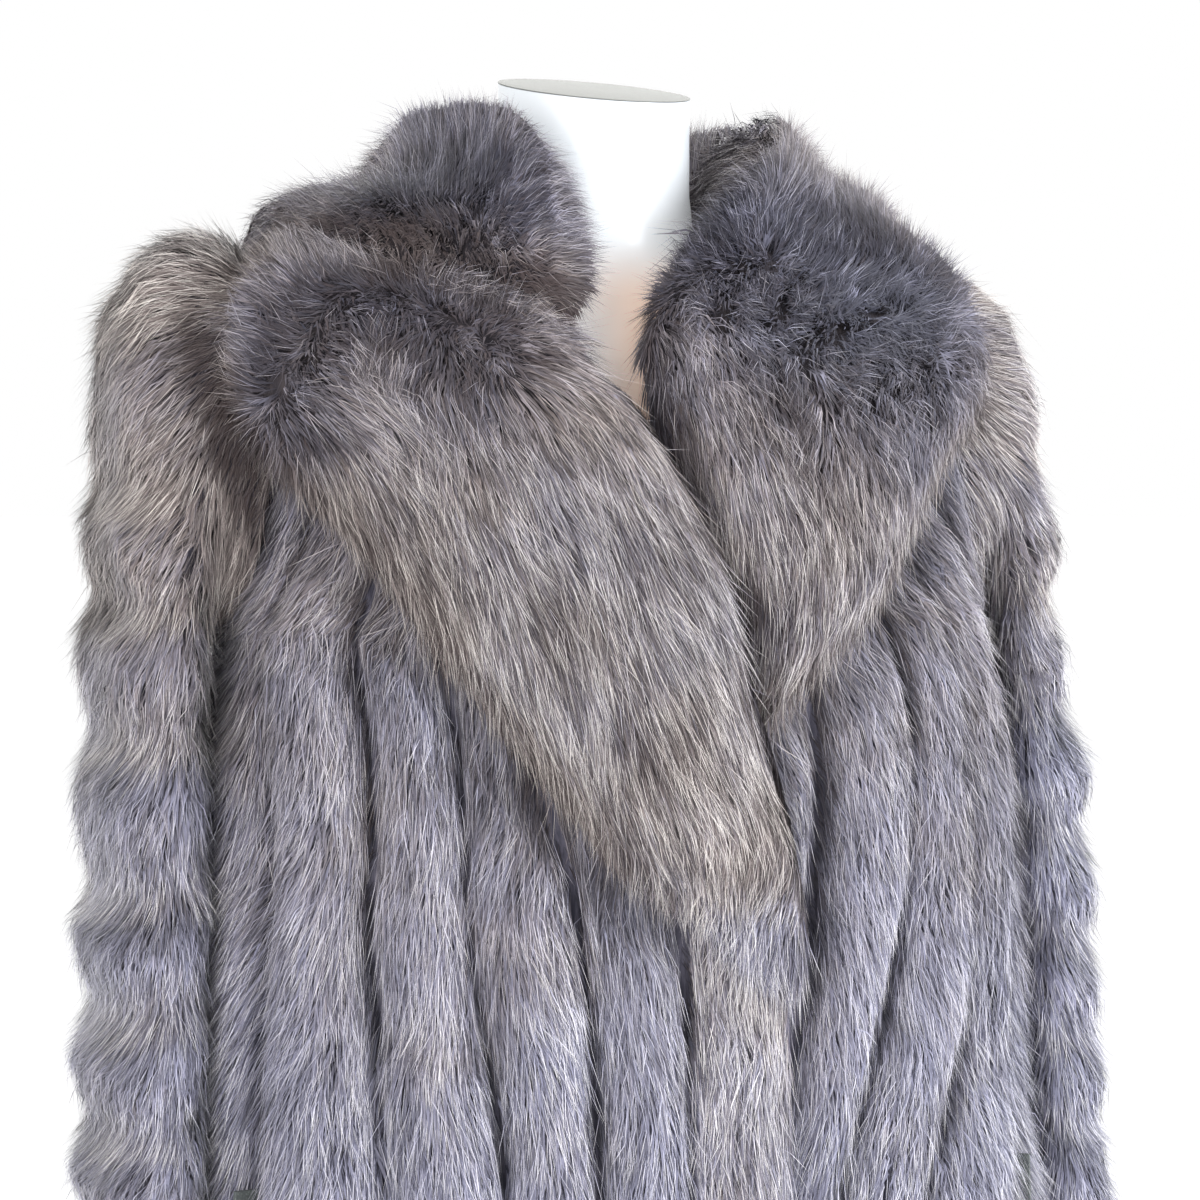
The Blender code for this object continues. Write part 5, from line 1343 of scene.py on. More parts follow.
def makeLeatherLook():
    # Small pebbled grain on grey green leather, paler on the pebbles and darker in the creases
    # between them.
    look, tree, shader = newLook("welt_leather", 0.55, 0.4)
    pebbles = tree.nodes.new("ShaderNodeTexVoronoi")
    pebbles.inputs["Scale"].default_value = 700.0
    tree.links.new(objectPlace(tree), pebbles.inputs["Vector"])
    wear = noiseAt(tree, 90.0, 4.0)
    colour = mixColours(tree, wear, (0.13, 0.155, 0.145), (0.24, 0.26, 0.24))
    ridge = ramp(tree, pebbles.outputs["Distance"], 0.0, 0.5)
    colour = mixColours(tree, ridge, colour, (0.08, 0.09, 0.09))
    painted(tree, shader, colour, ramp(tree, wear, 0.2, 0.8, 0.48, 0.66))
    addBump(tree, shader, pebbles.outputs["Distance"], 0.5, 0.0006, invert=True)
    return look


def makeSteelLook():
    # Brushed steel: fine lines round the pole and the base, and faint finger marks.
    look, tree, shader = newLook("stand_steel", 0.3, 0.5)
    lines = noiseAt(tree, 60.0, 2.0, (1.0, 1.0, 28.0))
    marks = noiseAt(tree, 24.0, 4.0)
    colour = mixColours(tree, lines, (0.56, 0.57, 0.59), (0.66, 0.67, 0.69))
    shader.inputs["Metallic"].default_value = 1.0
    painted(tree, shader, colour, ramp(tree, marks, 0.3, 0.75, 0.24, 0.42))
    addBump(tree, shader, lines, 0.12, 0.0005)
    return look


furColours = {
    "rootBlue": (0.022, 0.023, 0.038), "rootBrown": (0.042, 0.027, 0.027),
    "middleBlue": (0.37, 0.372, 0.52), "middleBrown": (0.325, 0.268, 0.255),
    "tipBlue": (0.92, 0.91, 0.94), "tipBrown": (0.84, 0.785, 0.735),
}
furGroup = makeFurGroup(furColours)
looks = {
    "strips": makeFurLook("strip_fur", furGroup, 0.15),
    "collar": makeFurLook("collar_fur", furGroup, 0.06),
    "sleeves": makeFurLook("sleeve_fur", furGroup, 0.30),
    "stripPelt": makePeltLook("strip_pelt", (0.050, 0.049, 0.070), (0.19, 0.18, 0.235)),
    "collarPelt": makePeltLook("collar_pelt", (0.026, 0.023, 0.029), (0.060, 0.050, 0.053)),
    "sleevePelt": makePeltLook("sleeve_pelt", (0.050, 0.048, 0.066), (0.17, 0.155, 0.195)),
    "form": makeFormLook(),
    "cap": makeCapLook(),
    "leather": makeLeatherLook(),
    "steel": makeSteelLook(),
}
for node, key in (
    ("form_torso", "form"), ("form_neck_cap", "cap"),
    ("form_pole", "steel"), ("form_base", "steel"),
    ("pocket_welt_right", "leather"), ("pocket_welt_left", "leather"),
):
    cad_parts[node].data.materials.clear()
    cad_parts[node].data.materials.append(looks[key])
print("looks ready")


# the fronts and the back: vertical strips

# Hair in metres and shares. Width is a blade's own and broad its multiple for underhair, lock is
# a lock's width and length, and swing and wave are spreads of angle, in radians, from the flow.
# Under, plain and stray are shares of the hairs. Fly and halo let tips and strays stand off, rim
# darkens the rims of the locks as painted shade, streak and deep vary their darkness, depth sinks
# the pelt, loose is how many columns and rows inside the grid's ends hair goes straight on, and
# fence keeps it to its own strip.
stripHair = {
    "length": 0.038, "width": 0.00048, "broad": 3.7, "lock": (0.0055, 0.018), "pull": 0.30,
    "swing": 0.18, "wave": 0.26, "under": 0.34, "plain": 0.62, "stray": 0.14, "fly": 0.0060,
    "halo": 0.008, "fan": 0.12, "rim": 0.30, "streak": 0.30, "deep": 0.12, "depth": 0.013,
    "fence": True, "loose": (0.0, 1.0), "look": "strips", "peltLook": "stripPelt",
    "slot": "strip_fur", "outerSteps": (2, 3), "innerSteps": (4, 12),
}
fronts = {
    "front_right": {
        "side": -1.0, "count": 112000, "seed": 11, "flat": (0.36, 0.86), "lean": (-0.10, 0.0, 0.0),
    },
    "front_left": {
        "side": 1.0, "count": 95000, "seed": 12, "flat": (0.34, 0.86), "lean": (0.05, 0.0, 0.0),
    },
}
backPiece = {"side": 0.0, "count": 77000, "seed": 13, "flat": (0.52, 0.86), "lean": (0.0, 0.0, 0.0)}
# How the outside of the collar's fur is moved, in bells over its length and width. Columns: along,
# reach, place, reach, x, y, z.
collarMoves = (
    (0.160, 0.070, 0.00, 0.45, -0.016, 0.000, 0.000),
    (0.385, 0.060, 0.00, 0.35, -0.012, 0.000, -0.008),
    (0.425, 0.055, 1.00, 0.40, -0.016, -0.004, 0.000),
    (0.560, 0.060, 0.12, 0.15, 0.000, 0.000, 0.010),
    (0.660, 0.080, 0.40, 0.20, 0.013, 0.000, -0.006),
    (1.320, 0.070, 0.12, 0.15, 0.000, 0.000, 0.006),
    (1.500, 0.070, 0.85, 0.40, -0.010, 0.000, -0.006),
    (1.530, 0.045, 0.00, 0.20, -0.012, 0.000, 0.006),
)


def movedCollar():
    # top + the sum of (x, y, z) * exp(-((along - a) / r)^2 - ((place - p) / q)^2).
    surface = collarSurface()
    along, place = surface["along"][:, None], surface["place"][None, :]
    for far, farReach, wide, wideReach, *move in collarMoves:
        bell = np.exp(-((along - far) / farReach) ** 2 - ((place - wide) / wideReach) ** 2)
        surface["top"] = surface["top"] + bell[..., None] * np.array(move)
    return surface


collarRim = movedCollar()["top"][:, -1]
# The recess between the right sleeve, the lapel and the body, whose fur is painted dark as shade,
# and the left pocket's welt.
shadedHollow = np.array([
    (-0.230, -0.055, 1.335), (-0.224, -0.058, 1.318), (-0.219, -0.060, 1.300),
    (-0.216, -0.064, 1.280), (-0.212, -0.064, 1.260), (-0.206, -0.060, 1.246),
    (-0.200, -0.057, 1.236),
])
shadedHollowReach = 0.014
leftWelt = np.array([
    (0.216, -0.100, 0.88), (0.216, -0.104, 0.85), (0.217, -0.106, 0.82), (0.218, -0.108, 0.79),
])


def stripShape(surface, hidden, near):
    # The fur is full up to the seams: top = skin + fur * full * (1 - notch). The seams lie open
    # and dark in some places, and in others tufts close them. Beside the arms the fur swells.
    points, height = surface["top"], surface["height"]
    # Shaded is nearness to the collar's rim: there the fur is painted dark as the collar's shadow,
    # and its seams lie open.
    shaded = besideLine(points, collarRim, 0.030) * (1.0 - hidden)
    parted = ease((softNoise(points * [1.0, 1.0, 0.5], 0.045, 28) - 0.36) / 0.26)
    parted = np.maximum(parted, 0.9 * shaded)
    full = np.clip(near, 0.12, 1.0) ** -0.10
    notch = (0.18 + 0.62 * parted) * np.exp(-(near / (0.15 + 0.12 * parted)) ** 2)
    fur = points - surface["skin"]
    beside = ease((0.26 - fromSideSeam(surface["turn"])) / 0.20)
    beside = beside * ease((1.24 - height) / 0.05) * ease((height - 0.66) / 0.10)
    surface["top"] = surface["skin"] + fur * (full * (1.0 - notch))[..., None]
    surface["top"] = surface["top"] + unit(fur) * (0.006 * beside)[..., None]
    measured(surface, stripHair["depth"])
    return shaded, parted, beside


def stripFlow(surface, piece, loose, beside):
    # Down the strip, and away from its crest by -fan * sin(2 pi * place), with a slow sway.
    points, phase = surface["top"], surface["place"][None, :]
    fan = -stripHair["fan"] * np.sin(2 * math.pi * phase)[..., None] * (0.5 + loose)[..., None]
    sway = 0.75 * (softNoise(points, 0.075, 23) - 0.5) + 0.65 * (softNoise(points, 0.022, 26) - 0.5)
    side = unit(surface["across"]) * (fan + sway[..., None])
    outward = np.sign(points[..., 0])[..., None] * np.array([0.60, 0.0, 0.0]) * beside[..., None]
    return unit(unit(surface["down"]) + side + np.array(piece["lean"]) + outward)


def stripFields(surface, hidden, piece):
    # Hair runs down each strip and fans from its crest to the seams beside it, where it is sparse
    # and painted dark as shade, with milder painted shade over the broad valleys. Low down it is
    # bluer and its tips are paler.
    phase, height = surface["place"][None, :], surface["height"]
    near = np.abs(np.sin(math.pi * phase))
    shaded, parted, beside = stripShape(surface, hidden, near)
    points = surface["top"]
    loose = softNoise(points * [1.0, 1.0, 0.35], 0.017, 21)
    blot = softNoise(points, 0.06, 22)
    surface["flow"] = stripFlow(surface, piece, loose, beside)
    gap = np.exp(-(near / (0.10 + 0.20 * loose)) ** 2)
    valleyShade = np.exp(-(near / 0.50) ** 2)
    # One side of each strip is painted darker and the other paler: painted shade on the side that
    # faces the wearer's right, and painted light on the side that faces the wearer's left.
    flankShade = piece["side"] * np.sin(2 * math.pi * phase)
    # The strip along the right front's edge is the palest one.
    first = ease((1.04 - phase) / 0.10) * (piece["side"] < 0) * ease((1.10 - height) / 0.06)
    # Painted shade in the seams and over the broad valleys beside them, and darker random blots.
    dark = gap * (0.22 + 0.62 * parted) + 0.14 * valleyShade + 0.16 * (1.0 - blot)
    # Painted shade on one flank of each strip, painted shadow below the collar's rim, and painted
    # light on the left front with painted shade on the right one.
    dark = dark + 0.12 * flankShade + 0.50 * shaded - 0.04 * piece["side"]
    # Painted shade in the recess beside the right sleeve.
    dark = dark * (1.0 - 0.5 * beside) + 0.9 * besideLine(points, shadedHollow, shadedHollowReach)
    surface["dark"] = dark * (1.0 - 0.75 * first)
    low = ease((1.16 - height) / 0.36)
    surface["warm"] = 0.46 - 0.40 * low + 0.16 * (blot - 0.5) + 0.28 * first
    pale = (0.66 + 0.34 * low) * (0.60 + 0.65 * softNoise(points, 0.03, 27))
    # Painted light on the other flank of each strip and on the left front.
    surface["pale"] = pale + 0.40 * first - 0.16 * flankShade + 0.06 * piece["side"]
    # Beside the left pocket the hair lies over the welt, and the hem is dense.
    pocket = besideLine(points, leftWelt, 0.030)
    density = (1.0 - 0.30 * gap) * (1.0 - 0.75 * hidden) * (1.0 + 0.5 * beside)
    hem = ease((0.60 - height) / 0.03)
    surface["density"] = density * (1.0 + 2.0 * pocket + 1.5 * hem)
    surface["long"] = 0.85 + 0.35 * softNoise(points, 0.045, 25) + 0.4 * pocket
    surface["raise"] = 0.017 * beside + 0.020 * pocket
    surface["open"] = 0.10 * softNoise(points, 0.03, 24)
    surface["curl"] = 0.05
    surface["parted"] = parted
    return surface


def makeFronts():
    # Two fronts, the right one over the left one.
    for name, piece in fronts.items():
        side = piece["side"]
        surface = frontSurface(side)
        turn, height = surface["turn"], surface["height"]
        hidden = covered(turn, height - 0.07, side < 0)
        if side > 0:
            # Below the closing the left front lies under the right one.
            limit = np.where(height < coat["closing"], coat["overlap"] - 0.03, -1.0)
            hidden = np.maximum(hidden, ease((limit - surface["top"][..., 0]) / 0.018))
        stripFields(surface, hidden, piece)
        dress(name, surface, {**stripHair, **piece})


def makeBack():
    # One back, from side seam to side seam.
    surface = backSurface()
    hidden = covered(surface["turn"], surface["height"] - 0.07, False)
    stripFields(surface, hidden, backPiece)
    dress("back", surface, {**stripHair, **backPiece})


def dress(name, surface, piece):
    # The pelt and its hair in the place of one node. The pelt's outer and inner side are made from
    # every few rows and columns of the surface.
    wrap = surface["wrap"]
    outer = strided(surface["pelt"], *piece["outerSteps"], wrap)
    inner = strided(surface["skin"], *piece["innerSteps"], wrap)
    pelt = addPelt("pelt_" + name, outer, inner, looks[piece["peltLook"]], wrap)
    finish(name, pelt, [growHair("fur_" + name, surface, piece, looks[piece["look"]])])


def finish(name, pelt, furs):
    # Both ride on the coat's body; the pelt stands for the node.
    for made in [pelt] + furs:
        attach(made, "root")
    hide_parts(name)
    print("made", name, [len(made.data.polygons) for made in [pelt] + furs])


makeFronts()
makeBack()


# the collar

collar = {
    "length": 0.038, "width": 0.00043, "broad": 3.8, "lock": (0.0032, 0.026), "pull": 0.36,
    "swing": 0.12, "wave": 0.14, "under": 0.32, "plain": 0.62, "stray": 0.30, "fly": 0.0090,
    "halo": 0.007, "rim": 0.30, "streak": 0.60, "deep": 0.42, "depth": 0.012, "fill": 0.5,
    "loose": (4.0, 1.0), "look": "collar", "peltLook": "collarPelt", "slot": "collar_fur",
    # The lines from which the hair parts: collar and lapel on the right, and the left side.
    "partings": (
        ((-0.130, -0.083, 1.414), (-0.116, -0.099, 1.406), (-0.103, -0.111, 1.401)),
        (
            (-0.203, -0.109, 1.298), (-0.197, -0.113, 1.318), (-0.189, -0.115, 1.334),
            (-0.171, -0.125, 1.345), (-0.155, -0.130, 1.347), (-0.138, -0.137, 1.345),
            (-0.119, -0.148, 1.338), (-0.103, -0.156, 1.330),
        ),
        (
            (0.047, -0.142, 1.378), (0.066, -0.150, 1.362), (0.099, -0.155, 1.346),
            (0.143, -0.139, 1.341),
        ),
    ),
    "openReach": (0.026, 0.016, 0.055), "darkReach": (0.038, 0.021, 0.058),
    # Columns: half, first row, row past the last, hairs, seed.
    "halves": (("right", 0, 100, 100000, 31), ("left", 99, 177, 78000, 32)),
}


def awayFrom(points, line):
    # The vector to each point from the nearest place of a bent line, and its length.
    nearest, found = np.inf, 0.0
    for start, end in zip(np.array(line[:-1]), np.array(line[1:])):
        run = end - start
        share = np.clip((points - start) @ run / (run @ run), 0.0, 1.0)
        away = points - start - share[..., None] * run
        reach = np.linalg.norm(away, axis=-1)
        found = np.where((reach < nearest)[..., None], away, found)
        nearest = np.minimum(nearest, reach)
    return found, nearest


def collarFlow(surface, parts, blot):
    # Hair runs away from the parting of its part of the collar. Farther down than the parting it
    # hangs more and more: away * (1 - 0.8 * hanging) + hang * hanging. Behind the neck it runs
    # straight out, and beside the neck it leans over the collar's inner edge. Also returns how
    # open, how dark and how far above its parting each place is.
    upper, lower, left, behind = parts
    place, points, out = surface["place"][None, :], surface["top"], surface["out"]
    x, y, z = points[..., 0], points[..., 1], points[..., 2]
    warp = np.stack([softNoise(points, 0.022, seed) for seed in (51, 52, 53)], axis=-1) - 0.5
    aim, opened, dark, above = 0.0, 0.0, 0.0, 0.0
    lines = zip(collar["partings"], collar["openReach"], collar["darkReach"], (upper, lower, left))
    for line, openReach, darkReach, weight in lines:
        away, reach = awayFrom(points + 0.018 * warp, line)
        hanging = ease(reach / 0.09) * ease(-away[..., 2] / 0.03)
        inside = ease((0.40 - place) / 0.35) * ease((1.25 - z) / 0.06) * (1.0 - left)
        hang = 0.42 - 1.3 * left * (x - 0.02) - 0.30 * left - 0.26 * inside
        hang = np.stack([hang, 0 * x, 0 * x - 1.0], axis=-1)
        turned = unit(away) * (1.0 - 0.8 * hanging)[..., None] + unit(hang) * hanging[..., None]
        aim = aim + turned * weight[..., None]
        opened = opened + weight * np.exp(-(reach / openReach) ** 2)
        # The left half's dark place lies mostly above its parting.
        uneven = darkReach * (0.70 + 0.6 * blot) * (1.0 + 0.25 * left * ease(away[..., 2] / 0.02))
        dark = dark + weight * np.exp(-(reach / uneven) ** 2)
        above = above + weight * ease(away[..., 2] / 0.02)
    across = unit(surface["across"])
    behindAim = 0.6 * across + [0.0, 0.0, -0.5]
    aim = aim * (1.0 - behind)[..., None] + behindAim * behind[..., None]
    inner = ease((0.22 - place) / 0.16) * ease((z - 1.335) / 0.04) * ease((0.05 - y) / 0.03)
    aim = aim * (1.0 - inner)[..., None] + (np.array([0.0, 0.0, 0.25]) - across) * inner[..., None]
    nearTip = ease((1.10 - z) / 0.08) * (1.0 - left)
    aim = aim + np.array([-0.55, 0.0, -0.4]) * nearTip[..., None]
    sway = 0.5 * (softNoise(points, 0.05, 33) - 0.5) + 0.45 * (softNoise(points, 0.018, 37) - 0.5)
    aim = aim + np.cross(out, aim) * sway[..., None]
    aim = aim - out * (aim * out).sum(axis=-1, keepdims=True)
    surface["flow"] = unit(aim + 0.02 * across)
    return opened * (1.0 - behind), dark * (1.0 - behind), above, inner


def collarFields(surface):
    # Hair runs away from three partings, one for each part of the collar, and then down. At a
    # parting it is short, stands up and shows its dark foot.
    along, place = surface["along"][:, None], surface["place"][None, :]
    measured(surface, collar["depth"])
    points = surface["top"]
    x, y, z = points[..., 0], points[..., 1], points[..., 2]
    fromFold = along - coat["foldPlace"] - coat["foldSlant"] * place
    left = ease((along - 1.0) / 0.1)
    upper = ease((fromFold + 0.012) / 0.024) * (1.0 - left)
    lower = (1.0 - upper) * (1.0 - left)
    behind = ease((y + 0.035) / 0.06)
    blot = softNoise(points, 0.028, 34)
    fine = softNoise(points, 0.009, 36)
    parts = (upper, lower, left, behind)
    opened, dark, above, inner = collarFlow(surface, parts, blot)
    # The lapel's tip is coloured as the strips are.
    tip = ease((1.050 + 0.030 * (fine - 0.5) - z) / 0.024) * (1.0 - left)
    edge = ease((place - 0.82) / 0.14) * (1.0 - tip)
    mottle = softNoise(points * [1.0, 1.0, 0.6], 0.017, 38)
    # The fold shows as a warm dark line of painted shade in its crease, and the hair above it is
    # short.
    groove = np.exp(-((fromFold - 0.014) / 0.010) ** 2) * (1.0 - 0.5 * place) * (1.0 - left)
    # The left half is lighter beside both of its edges.
    lighter = ease((place - 0.58) / 0.26) + 0.6 * ease((0.26 - place) / 0.16)
    lighter = left * np.maximum(lighter, ease((x - 0.15) / 0.05))
    aboveFold = ease(fromFold / 0.006) * ease((0.085 - fromFold) / 0.06) * (1.0 - left)
    foot = ease((0.10 - place) / 0.08) * left
    lapelEnd = ease((1.25 - z) / 0.06) * left
    surface["open"] = np.clip(0.9 * opened + 0.10 * blot, 0.0, 1.0)
    surface["curl"] = 0.05 + 0.90 * opened * left + 0.45 * opened * upper + 0.60 * opened * lower
    surface["dark"] = (
        (0.95 + 0.65 * left * ease((z - 1.262) / 0.045)) * dark * (0.5 + 0.8 * fine)
        * (1.0 - 0.75 * lighter) * (1.0 - 0.35 * left * (1.0 - above)) + 0.60 * groove
        + (0.50 * (1.0 - mottle) + 0.16 * (1.0 - blot) + 0.24 * edge - 0.05) * (1.0 - tip)
        + 0.35 * foot + 0.10 * lapelEnd
    ) * (1.0 - 0.5 * behind)
    crest = ease((0.34 - place) / 0.14) * ease((z - 1.37) / 0.03)
    surface["cover"] = np.clip(crest + 0.5 * behind, 0.0, 1.0)
    density = (1.0 - 0.70 * surface["tucked"]) * (1.0 - 0.35 * behind) * (1.0 + 0.6 * opened)
    surface["density"] = density * (1.0 + 0.8 * crest + 0.6 * inner)
    low = ease((1.33 - z) / 0.14)
    warm = 0.68 + 0.04 * low + 0.30 * (blot - 0.5) - (0.20 + 0.30 * left) * dark
    warm = warm + 0.40 * groove + 0.25 * edge - 0.10 * upper
    surface["warm"] = warm * (1.0 - 0.60 * tip)
    pale = (0.50 + (0.66 + 0.3 * left) * low) * (1.0 - 0.7 * dark)
    surface["pale"] = np.clip(pale + 0.3 * tip + 0.3 * behind, 0.0, 1.25)
    longer = (0.80 + 0.25 * low + 0.2 * softNoise(points, 0.04, 35)) * (1.0 - 0.38 * above)
    surface["long"] = longer * (1.0 - 0.55 * aboveFold) * (1.0 - inner) + 0.85 * inner
    surface["raise"] = 0.003 * behind + 0.004 * inner + 0.002 * above
    return surface


def collarPelt(surface):
    # Closed rings: the pelt's upper side and the plain underside, with a flat end at each tip.
    upper = strided(surface["pelt"], 2, 2)
    skin = strided(surface["skin"], 2, 1)
    under = skin[:, np.linspace(skin.shape[1] - 1, 0, coat["underCuts"] + 1).astype(int)[1:-1]]
    rings = np.concatenate([upper, under], axis=1)
    return closedRings("pelt_collar", rings, looks[collar["peltLook"]])


def sliced(surface, start, stop):
    # Some rows of a surface, as a surface.
    cut = {}
    for key, value in surface.items():
        byRow = isinstance(value, np.ndarray) and value.shape[0] == surface["top"].shape[0]
        cut[key] = value[start:stop] if byRow else value
    return cut


def makeCollar():
    # One pelt, with the hair of each half as a mesh of its own.
    surface = collarFields(movedCollar())
    pelt = collarPelt(surface)
    furs = []
    for half, start, stop, count, seed in collar["halves"]:
        part = {**collar, "count": count, "seed": seed}
        rows = sliced(surface, start, stop)
        furs.append(growHair("fur_collar_" + half, rows, part, looks[collar["look"]]))
    finish("collar", pelt, furs)


makeCollar()


# the sleeves: tiers round the arm

sleeveHair = {
    "length": 0.036, "width": 0.00044, "broad": 4.0, "lock": (0.0050, 0.017), "pull": 0.30,
    "swing": 0.18, "wave": 0.22, "under": 0.34, "plain": 0.62, "stray": 0.20, "fly": 0.0080,
    "halo": 0.007, "rim": 0.30, "streak": 0.34, "deep": 0.24, "depth": 0.012, "loose": (0.0, 1.0),
    "look": "sleeves", "peltLook": "sleevePelt", "slot": "sleeve_fur",
    "outerSteps": (2, 2), "innerSteps": (4, 3),
}
sleeves = {
    "sleeve_right": {
        "side": -1.0, "count": 70000, "seed": 41, "flat": (0.30, 0.64),
        "tiers": (1.41, 1.321, 1.234, 1.172, 1.101, 1.015, 0.952, 0.888, 0.830, 0.760),
    },
    "sleeve_left": {
        "side": 1.0, "count": 62000, "seed": 42, "flat": (0.30, 0.64),
        "tiers": (1.41, 1.330, 1.252, 1.171, 1.105, 1.040, 0.976, 0.917, 0.866, 0.780),
    },
}


def sleeveShape(surface, side, tiers, outside, byBody):
    # The tiers are level: where the fur of the plain rings swells, it now swells in them. The
    # right sleeve's head is wider. The left one's is lower, and it is narrower at the elbow.
    points, along = surface["top"], surface["along"][:, None]
    sloped = points[..., 2] - 0.012 + 0.16 * (np.abs(points[..., 0]) - 0.27)
    level = np.interp(-sloped, -np.asarray(tiers), np.arange(len(tiers)))
    rings = coat["sleeveTiers"]
    plain = np.mod(np.interp(along, rings, np.arange(len(rings))), 1.0)
    swell = 0.013 * (ridgeAt(np.mod(level, 1.0)) - ridgeAt(plain)) * outside
    swell = swell * ease((along - 0.06) / 0.05) * ease((rings[-1] - along) / 0.03)
    inward = 0.005 * byBody * ease((along - 0.07) / 0.08) * ease((0.60 - along) / 0.10)
    fur = points - surface["skin"]
    surface["top"] = points + unit(fur) * (swell + inward)[..., None]
    height = points[..., 2]
    if side < 0:
        wider = 0.011 * np.exp(-((height - 1.335) / 0.035) ** 2) * outside
        surface["top"] = surface["top"] + wider[..., None] * np.array([-1.0, 0.0, 0.0])
    else:
        slim = 0.009 * np.exp(-((height - 1.148) / 0.03) ** 2)
        slim = slim + 0.005 * np.exp(-((height - 1.25) / 0.05) ** 2)
        lower = 0.014 * ease((height - 1.33) / 0.04)
        inside = np.stack([slim * outside + 0.3 * lower, 0 * slim, lower], axis=-1)
        surface["top"] = surface["top"] - inside
    measured(surface, sleeveHair["depth"])
    return level


def sleeveFlow(surface, side, outside):
    # Down the arm and outwards, the more the higher it lies, with a slow sway.
    points, out = surface["top"], surface["out"]
    height = points[..., 2]
    lean = 0.16 + 0.80 * ease((height - 1.12) / 0.16) + 3.6 * ease((height - 1.28) / 0.08)
    lean = side * lean * (0.3 + 0.7 * outside)
    aim = np.stack([lean, 0.0 * height, 0.0 * height - 1.0], axis=-1)
    sway = 0.5 * (softNoise(points, 0.06, 44) - 0.5) + 0.35 * (softNoise(points, 0.02, 47) - 0.5)
    aim = aim + np.cross(out, aim) * sway[..., None]
    return unit(aim - out * (aim * out).sum(axis=-1, keepdims=True))


def sleeveFields(surface, side, tiers):
    # Hair runs down the arm and outwards. Each tier starts dark and blue under the one above,
    # partly painted shade from it, and ends in pale tips that stand off.
    along, around = surface["along"][:, None], surface["around"][None, :]
    outside = ease((np.cos(around) + 0.55) / 0.9)
    byBody = ease((-np.cos(around) - 0.2) / 0.6)
    loose = softNoise(surface["top"] * [0.6, 0.6, 1.0], 0.02, 43)
    level = sleeveShape(surface, side, tiers, outside, byBody)
    surface["flow"] = sleeveFlow(surface, side, outside)
    points, height = surface["top"], surface["top"][..., 2]
    high = ease((height - 1.00) / 0.28)
    within = np.mod(level + 0.16 * (loose - 0.5), 1.0)
    start = np.exp(-(within / 0.30) ** 2) + np.exp(-((1.0 - within) / 0.04) ** 2)
    blot = softNoise(points, 0.05, 45)
    belowEdge = ease((along - 0.02) / 0.03)
    mottle = softNoise(points * [1.0, 1.0, 0.6], 0.016, 48)
    armpitShade = byBody * ease((height - 1.20) / 0.04)
    shaded = besideLine(points, collarRim, 0.022) * ease((1.37 - height) / 0.03)
    inShadedHollow = besideLine(points, shadedHollow, shadedHollowReach)
    # One pale tuft with a brown foot hangs beside the body.
    tuft = besideLine(points, np.array([(-0.223, -0.060, 1.232), (-0.222, -0.056, 1.212)]), 0.014)
    foot = besideLine(points, np.array([(-0.219, -0.046, 1.190)]), 0.012)
    # Painted shade where each tier starts under the one above, and a little beside the body.
    dark = (0.60 - 0.26 * high) * start * (0.35 + 0.8 * loose) * belowEdge + 0.06 * byBody
    # Painted shade under the arm beside the body, and painted shadow below the collar's rim.
    dark = dark + 0.30 * armpitShade + 0.15 * shaded + 0.28 * (1.0 - mottle) - 0.18
    # Painted shade in the recess between the sleeve, the lapel and the body.
    surface["dark"] = dark * (1.0 - 0.8 * tuft) + 0.9 * inShadedHollow + 0.6 * foot
    surface["density"] = (0.65 + 0.35 * outside) * (1.8 - 0.8 * ease((along - 0.01) / 0.03))
    surface["open"] = 0.10 * loose
    surface["curl"] = 0.06
    first = ease((height - 1.33) / 0.04)
    warm = 0.12 + 0.60 * ease((height - 1.03) / 0.24) + 0.30 * (within - 0.35)
    warm = warm + 0.2 * (blot - 0.5) + 0.2 * first - 0.08 * side
    surface["warm"] = warm + 0.6 * tuft + 0.8 * foot
    # The left sleeve is painted paler than the right one, as painted light.
    pale = 0.48 + 0.90 * within - 0.10 * high + 0.4 * first + 0.20 * side
    surface["pale"] = np.clip(pale, 0.0, 1.25)
    surface["long"] = 0.80 + 0.3 * softNoise(points, 0.04, 46) - 0.35 * inShadedHollow
    surface["cover"] = 1.0 - belowEdge
    surface["raise"] = 0.005 * (ease((within - 0.35) / 0.5) * outside + byBody + surface["cover"])
    return surface


def makeSleeves():
    # Two sleeves, each with its own tiers.
    for name, piece in sleeves.items():
        surface = sleeveFields(sleeveSurface(piece["side"]), piece["side"], piece["tiers"])
        dress(name, surface, {**sleeveHair, **piece})


makeSleeves()


# the form

formCut = {
    "floor": 0.70, "neckFoot": 1.40, "neckTop": 1.479, "sides": 128,
    "bodyRows": 90, "neckRows": 9, "bevelRows": 6, "footShare": 0.985,
    "capRadius": 0.0545, "capThickness": 0.0005, "capBevel": 0.0003, "capInset": 0.0004,
    "forward": math.radians(10.0), "aside": math.radians(2.2),
    # Columns: height, half width, front, back.
    "sections": (
        (0.700, 0.158, 0.108, 0.118),
        (0.780, 0.172, 0.116, 0.134),
        (0.900, 0.150, 0.106, 0.110),
        (1.000, 0.118, 0.092, 0.088),
        (1.080, 0.132, 0.110, 0.095),
        (1.150, 0.150, 0.127, 0.105),
        (1.220, 0.155, 0.116, 0.106),
        (1.280, 0.166, 0.102, 0.098),
        (1.318, 0.166, 0.094, 0.088),
        (1.342, 0.140, 0.083, 0.074),
        (1.360, 0.084, 0.068, 0.061),
        (1.376, 0.062, 0.059, 0.055),
        (1.400, 0.055, 0.055, 0.053),
        (1.430, 0.054, 0.054, 0.053),
        (1.470, 0.0545, 0.0535, 0.0535),
    ),
}


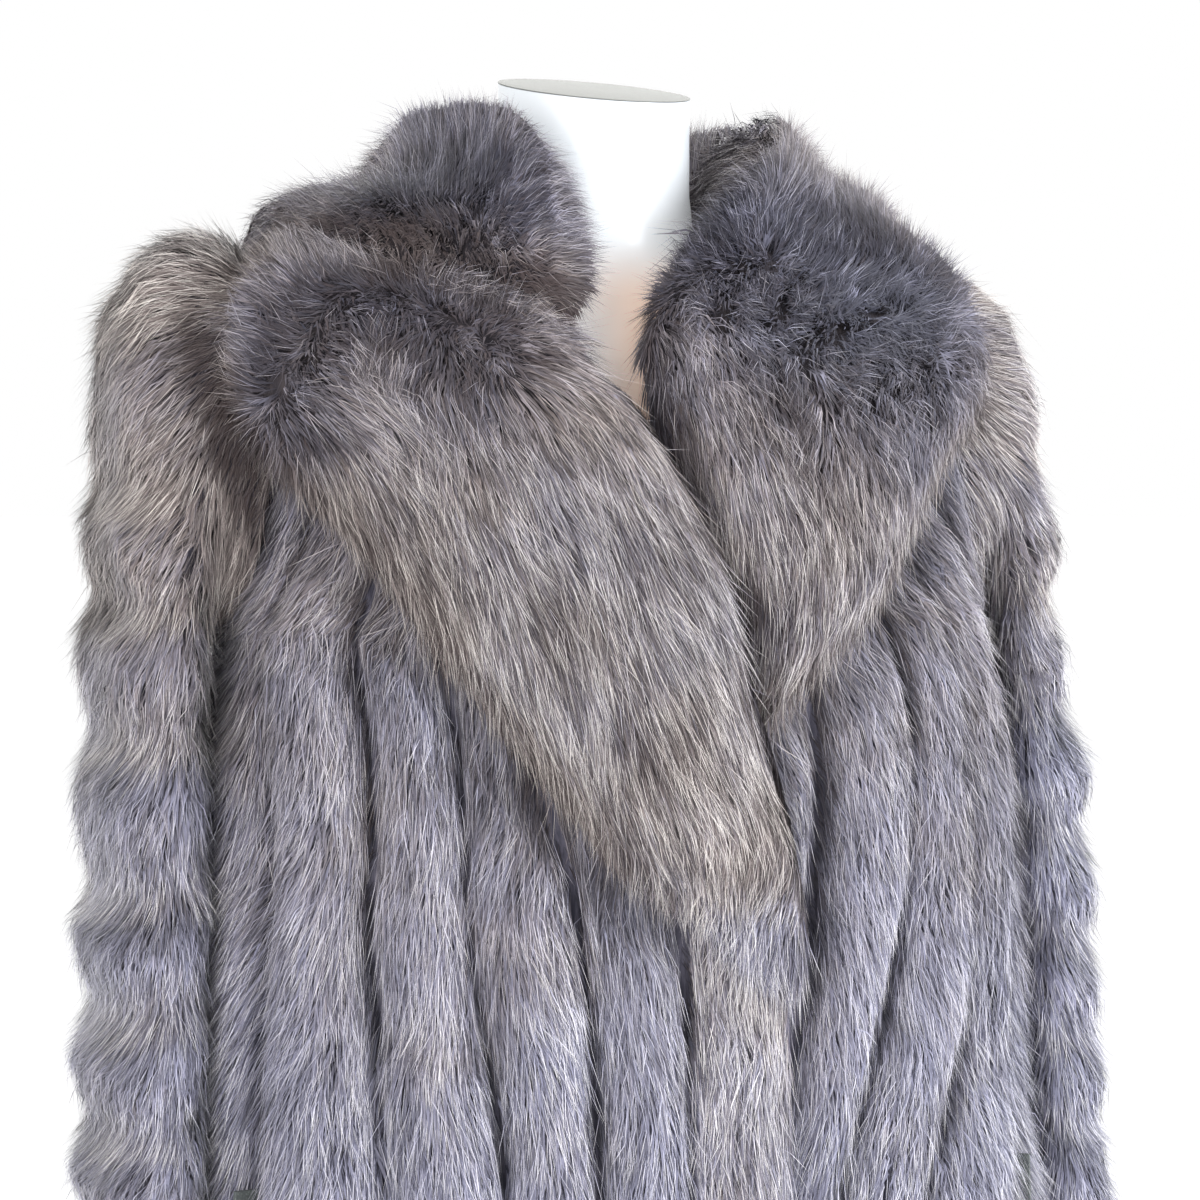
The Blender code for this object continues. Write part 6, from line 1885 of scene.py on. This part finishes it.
def formRing(halfWidth, front, back, height):
    # Half ellipses in front and behind.
    angle = np.arange(formCut["sides"]) * 2 * math.pi / formCut["sides"]
    deep = np.where(np.cos(angle) > 0, front, back)
    return np.stack([halfWidth * np.sin(angle), -deep * np.cos(angle), 0 * angle + height], -1)


def tilted(ring, middle):
    # The neck's top leans forward and to the wearer's left.
    rise = ring[:, 1] * math.tan(formCut["forward"]) - ring[:, 0] * math.tan(formCut["aside"])
    ring = ring.copy()
    ring[:, 2] = middle + rise
    return ring


def loft(name, rings, look, node):
    # Closed rings with their sharp rims, in the place of one node.
    made = closedRings(name, rings, look)
    made.data.set_sharp_from_angle(angle=math.radians(50))
    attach(made, "root")
    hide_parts(node)
    return made


def makeForm():
    # The torso and its neck as one moulding, then the flat cap with a rounded rim.
    sections = formCut["sections"]
    levels = np.linspace(formCut["floor"], formCut["neckFoot"], formCut["bodyRows"])
    rings = [formRing(*[float(v) for v in through(sections, z)], z) for z in levels]
    rings[0] = rings[0] * [formCut["footShare"], formCut["footShare"], 1.0]
    tilt = math.hypot(math.tan(formCut["forward"]), math.tan(formCut["aside"]))
    neckTop = formCut["neckTop"] - formCut["capThickness"] - formCut["capBevel"]
    neckTop = neckTop - formCut["capRadius"] * tilt
    for share in np.linspace(0.0, 1.0, formCut["neckRows"])[1:]:
        middle = formCut["neckFoot"] + (neckTop - formCut["neckFoot"]) * share
        plain = formRing(*[float(v) for v in through(sections, middle)], middle)
        rings.append(tilted(plain, middle) * share + plain * (1 - share))
    loft("form_body", np.array(rings), looks["form"], "form_torso")
    turn = np.linspace(0.0, math.pi / 2, formCut["bevelRows"])
    radius, bevel, inset = formCut["capRadius"], formCut["capBevel"], formCut["capInset"]
    widths = np.append(radius - inset, radius - bevel + bevel * np.cos(turn))
    lifts = np.append(inset, formCut["capThickness"] + bevel * np.sin(turn))
    caps = [tilted(formRing(w, w, w, 0.0), neckTop + z) for w, z in zip(widths, lifts)]
    loft("form_cap", np.array(caps), looks["cap"], "form_neck_cap")


makeForm()
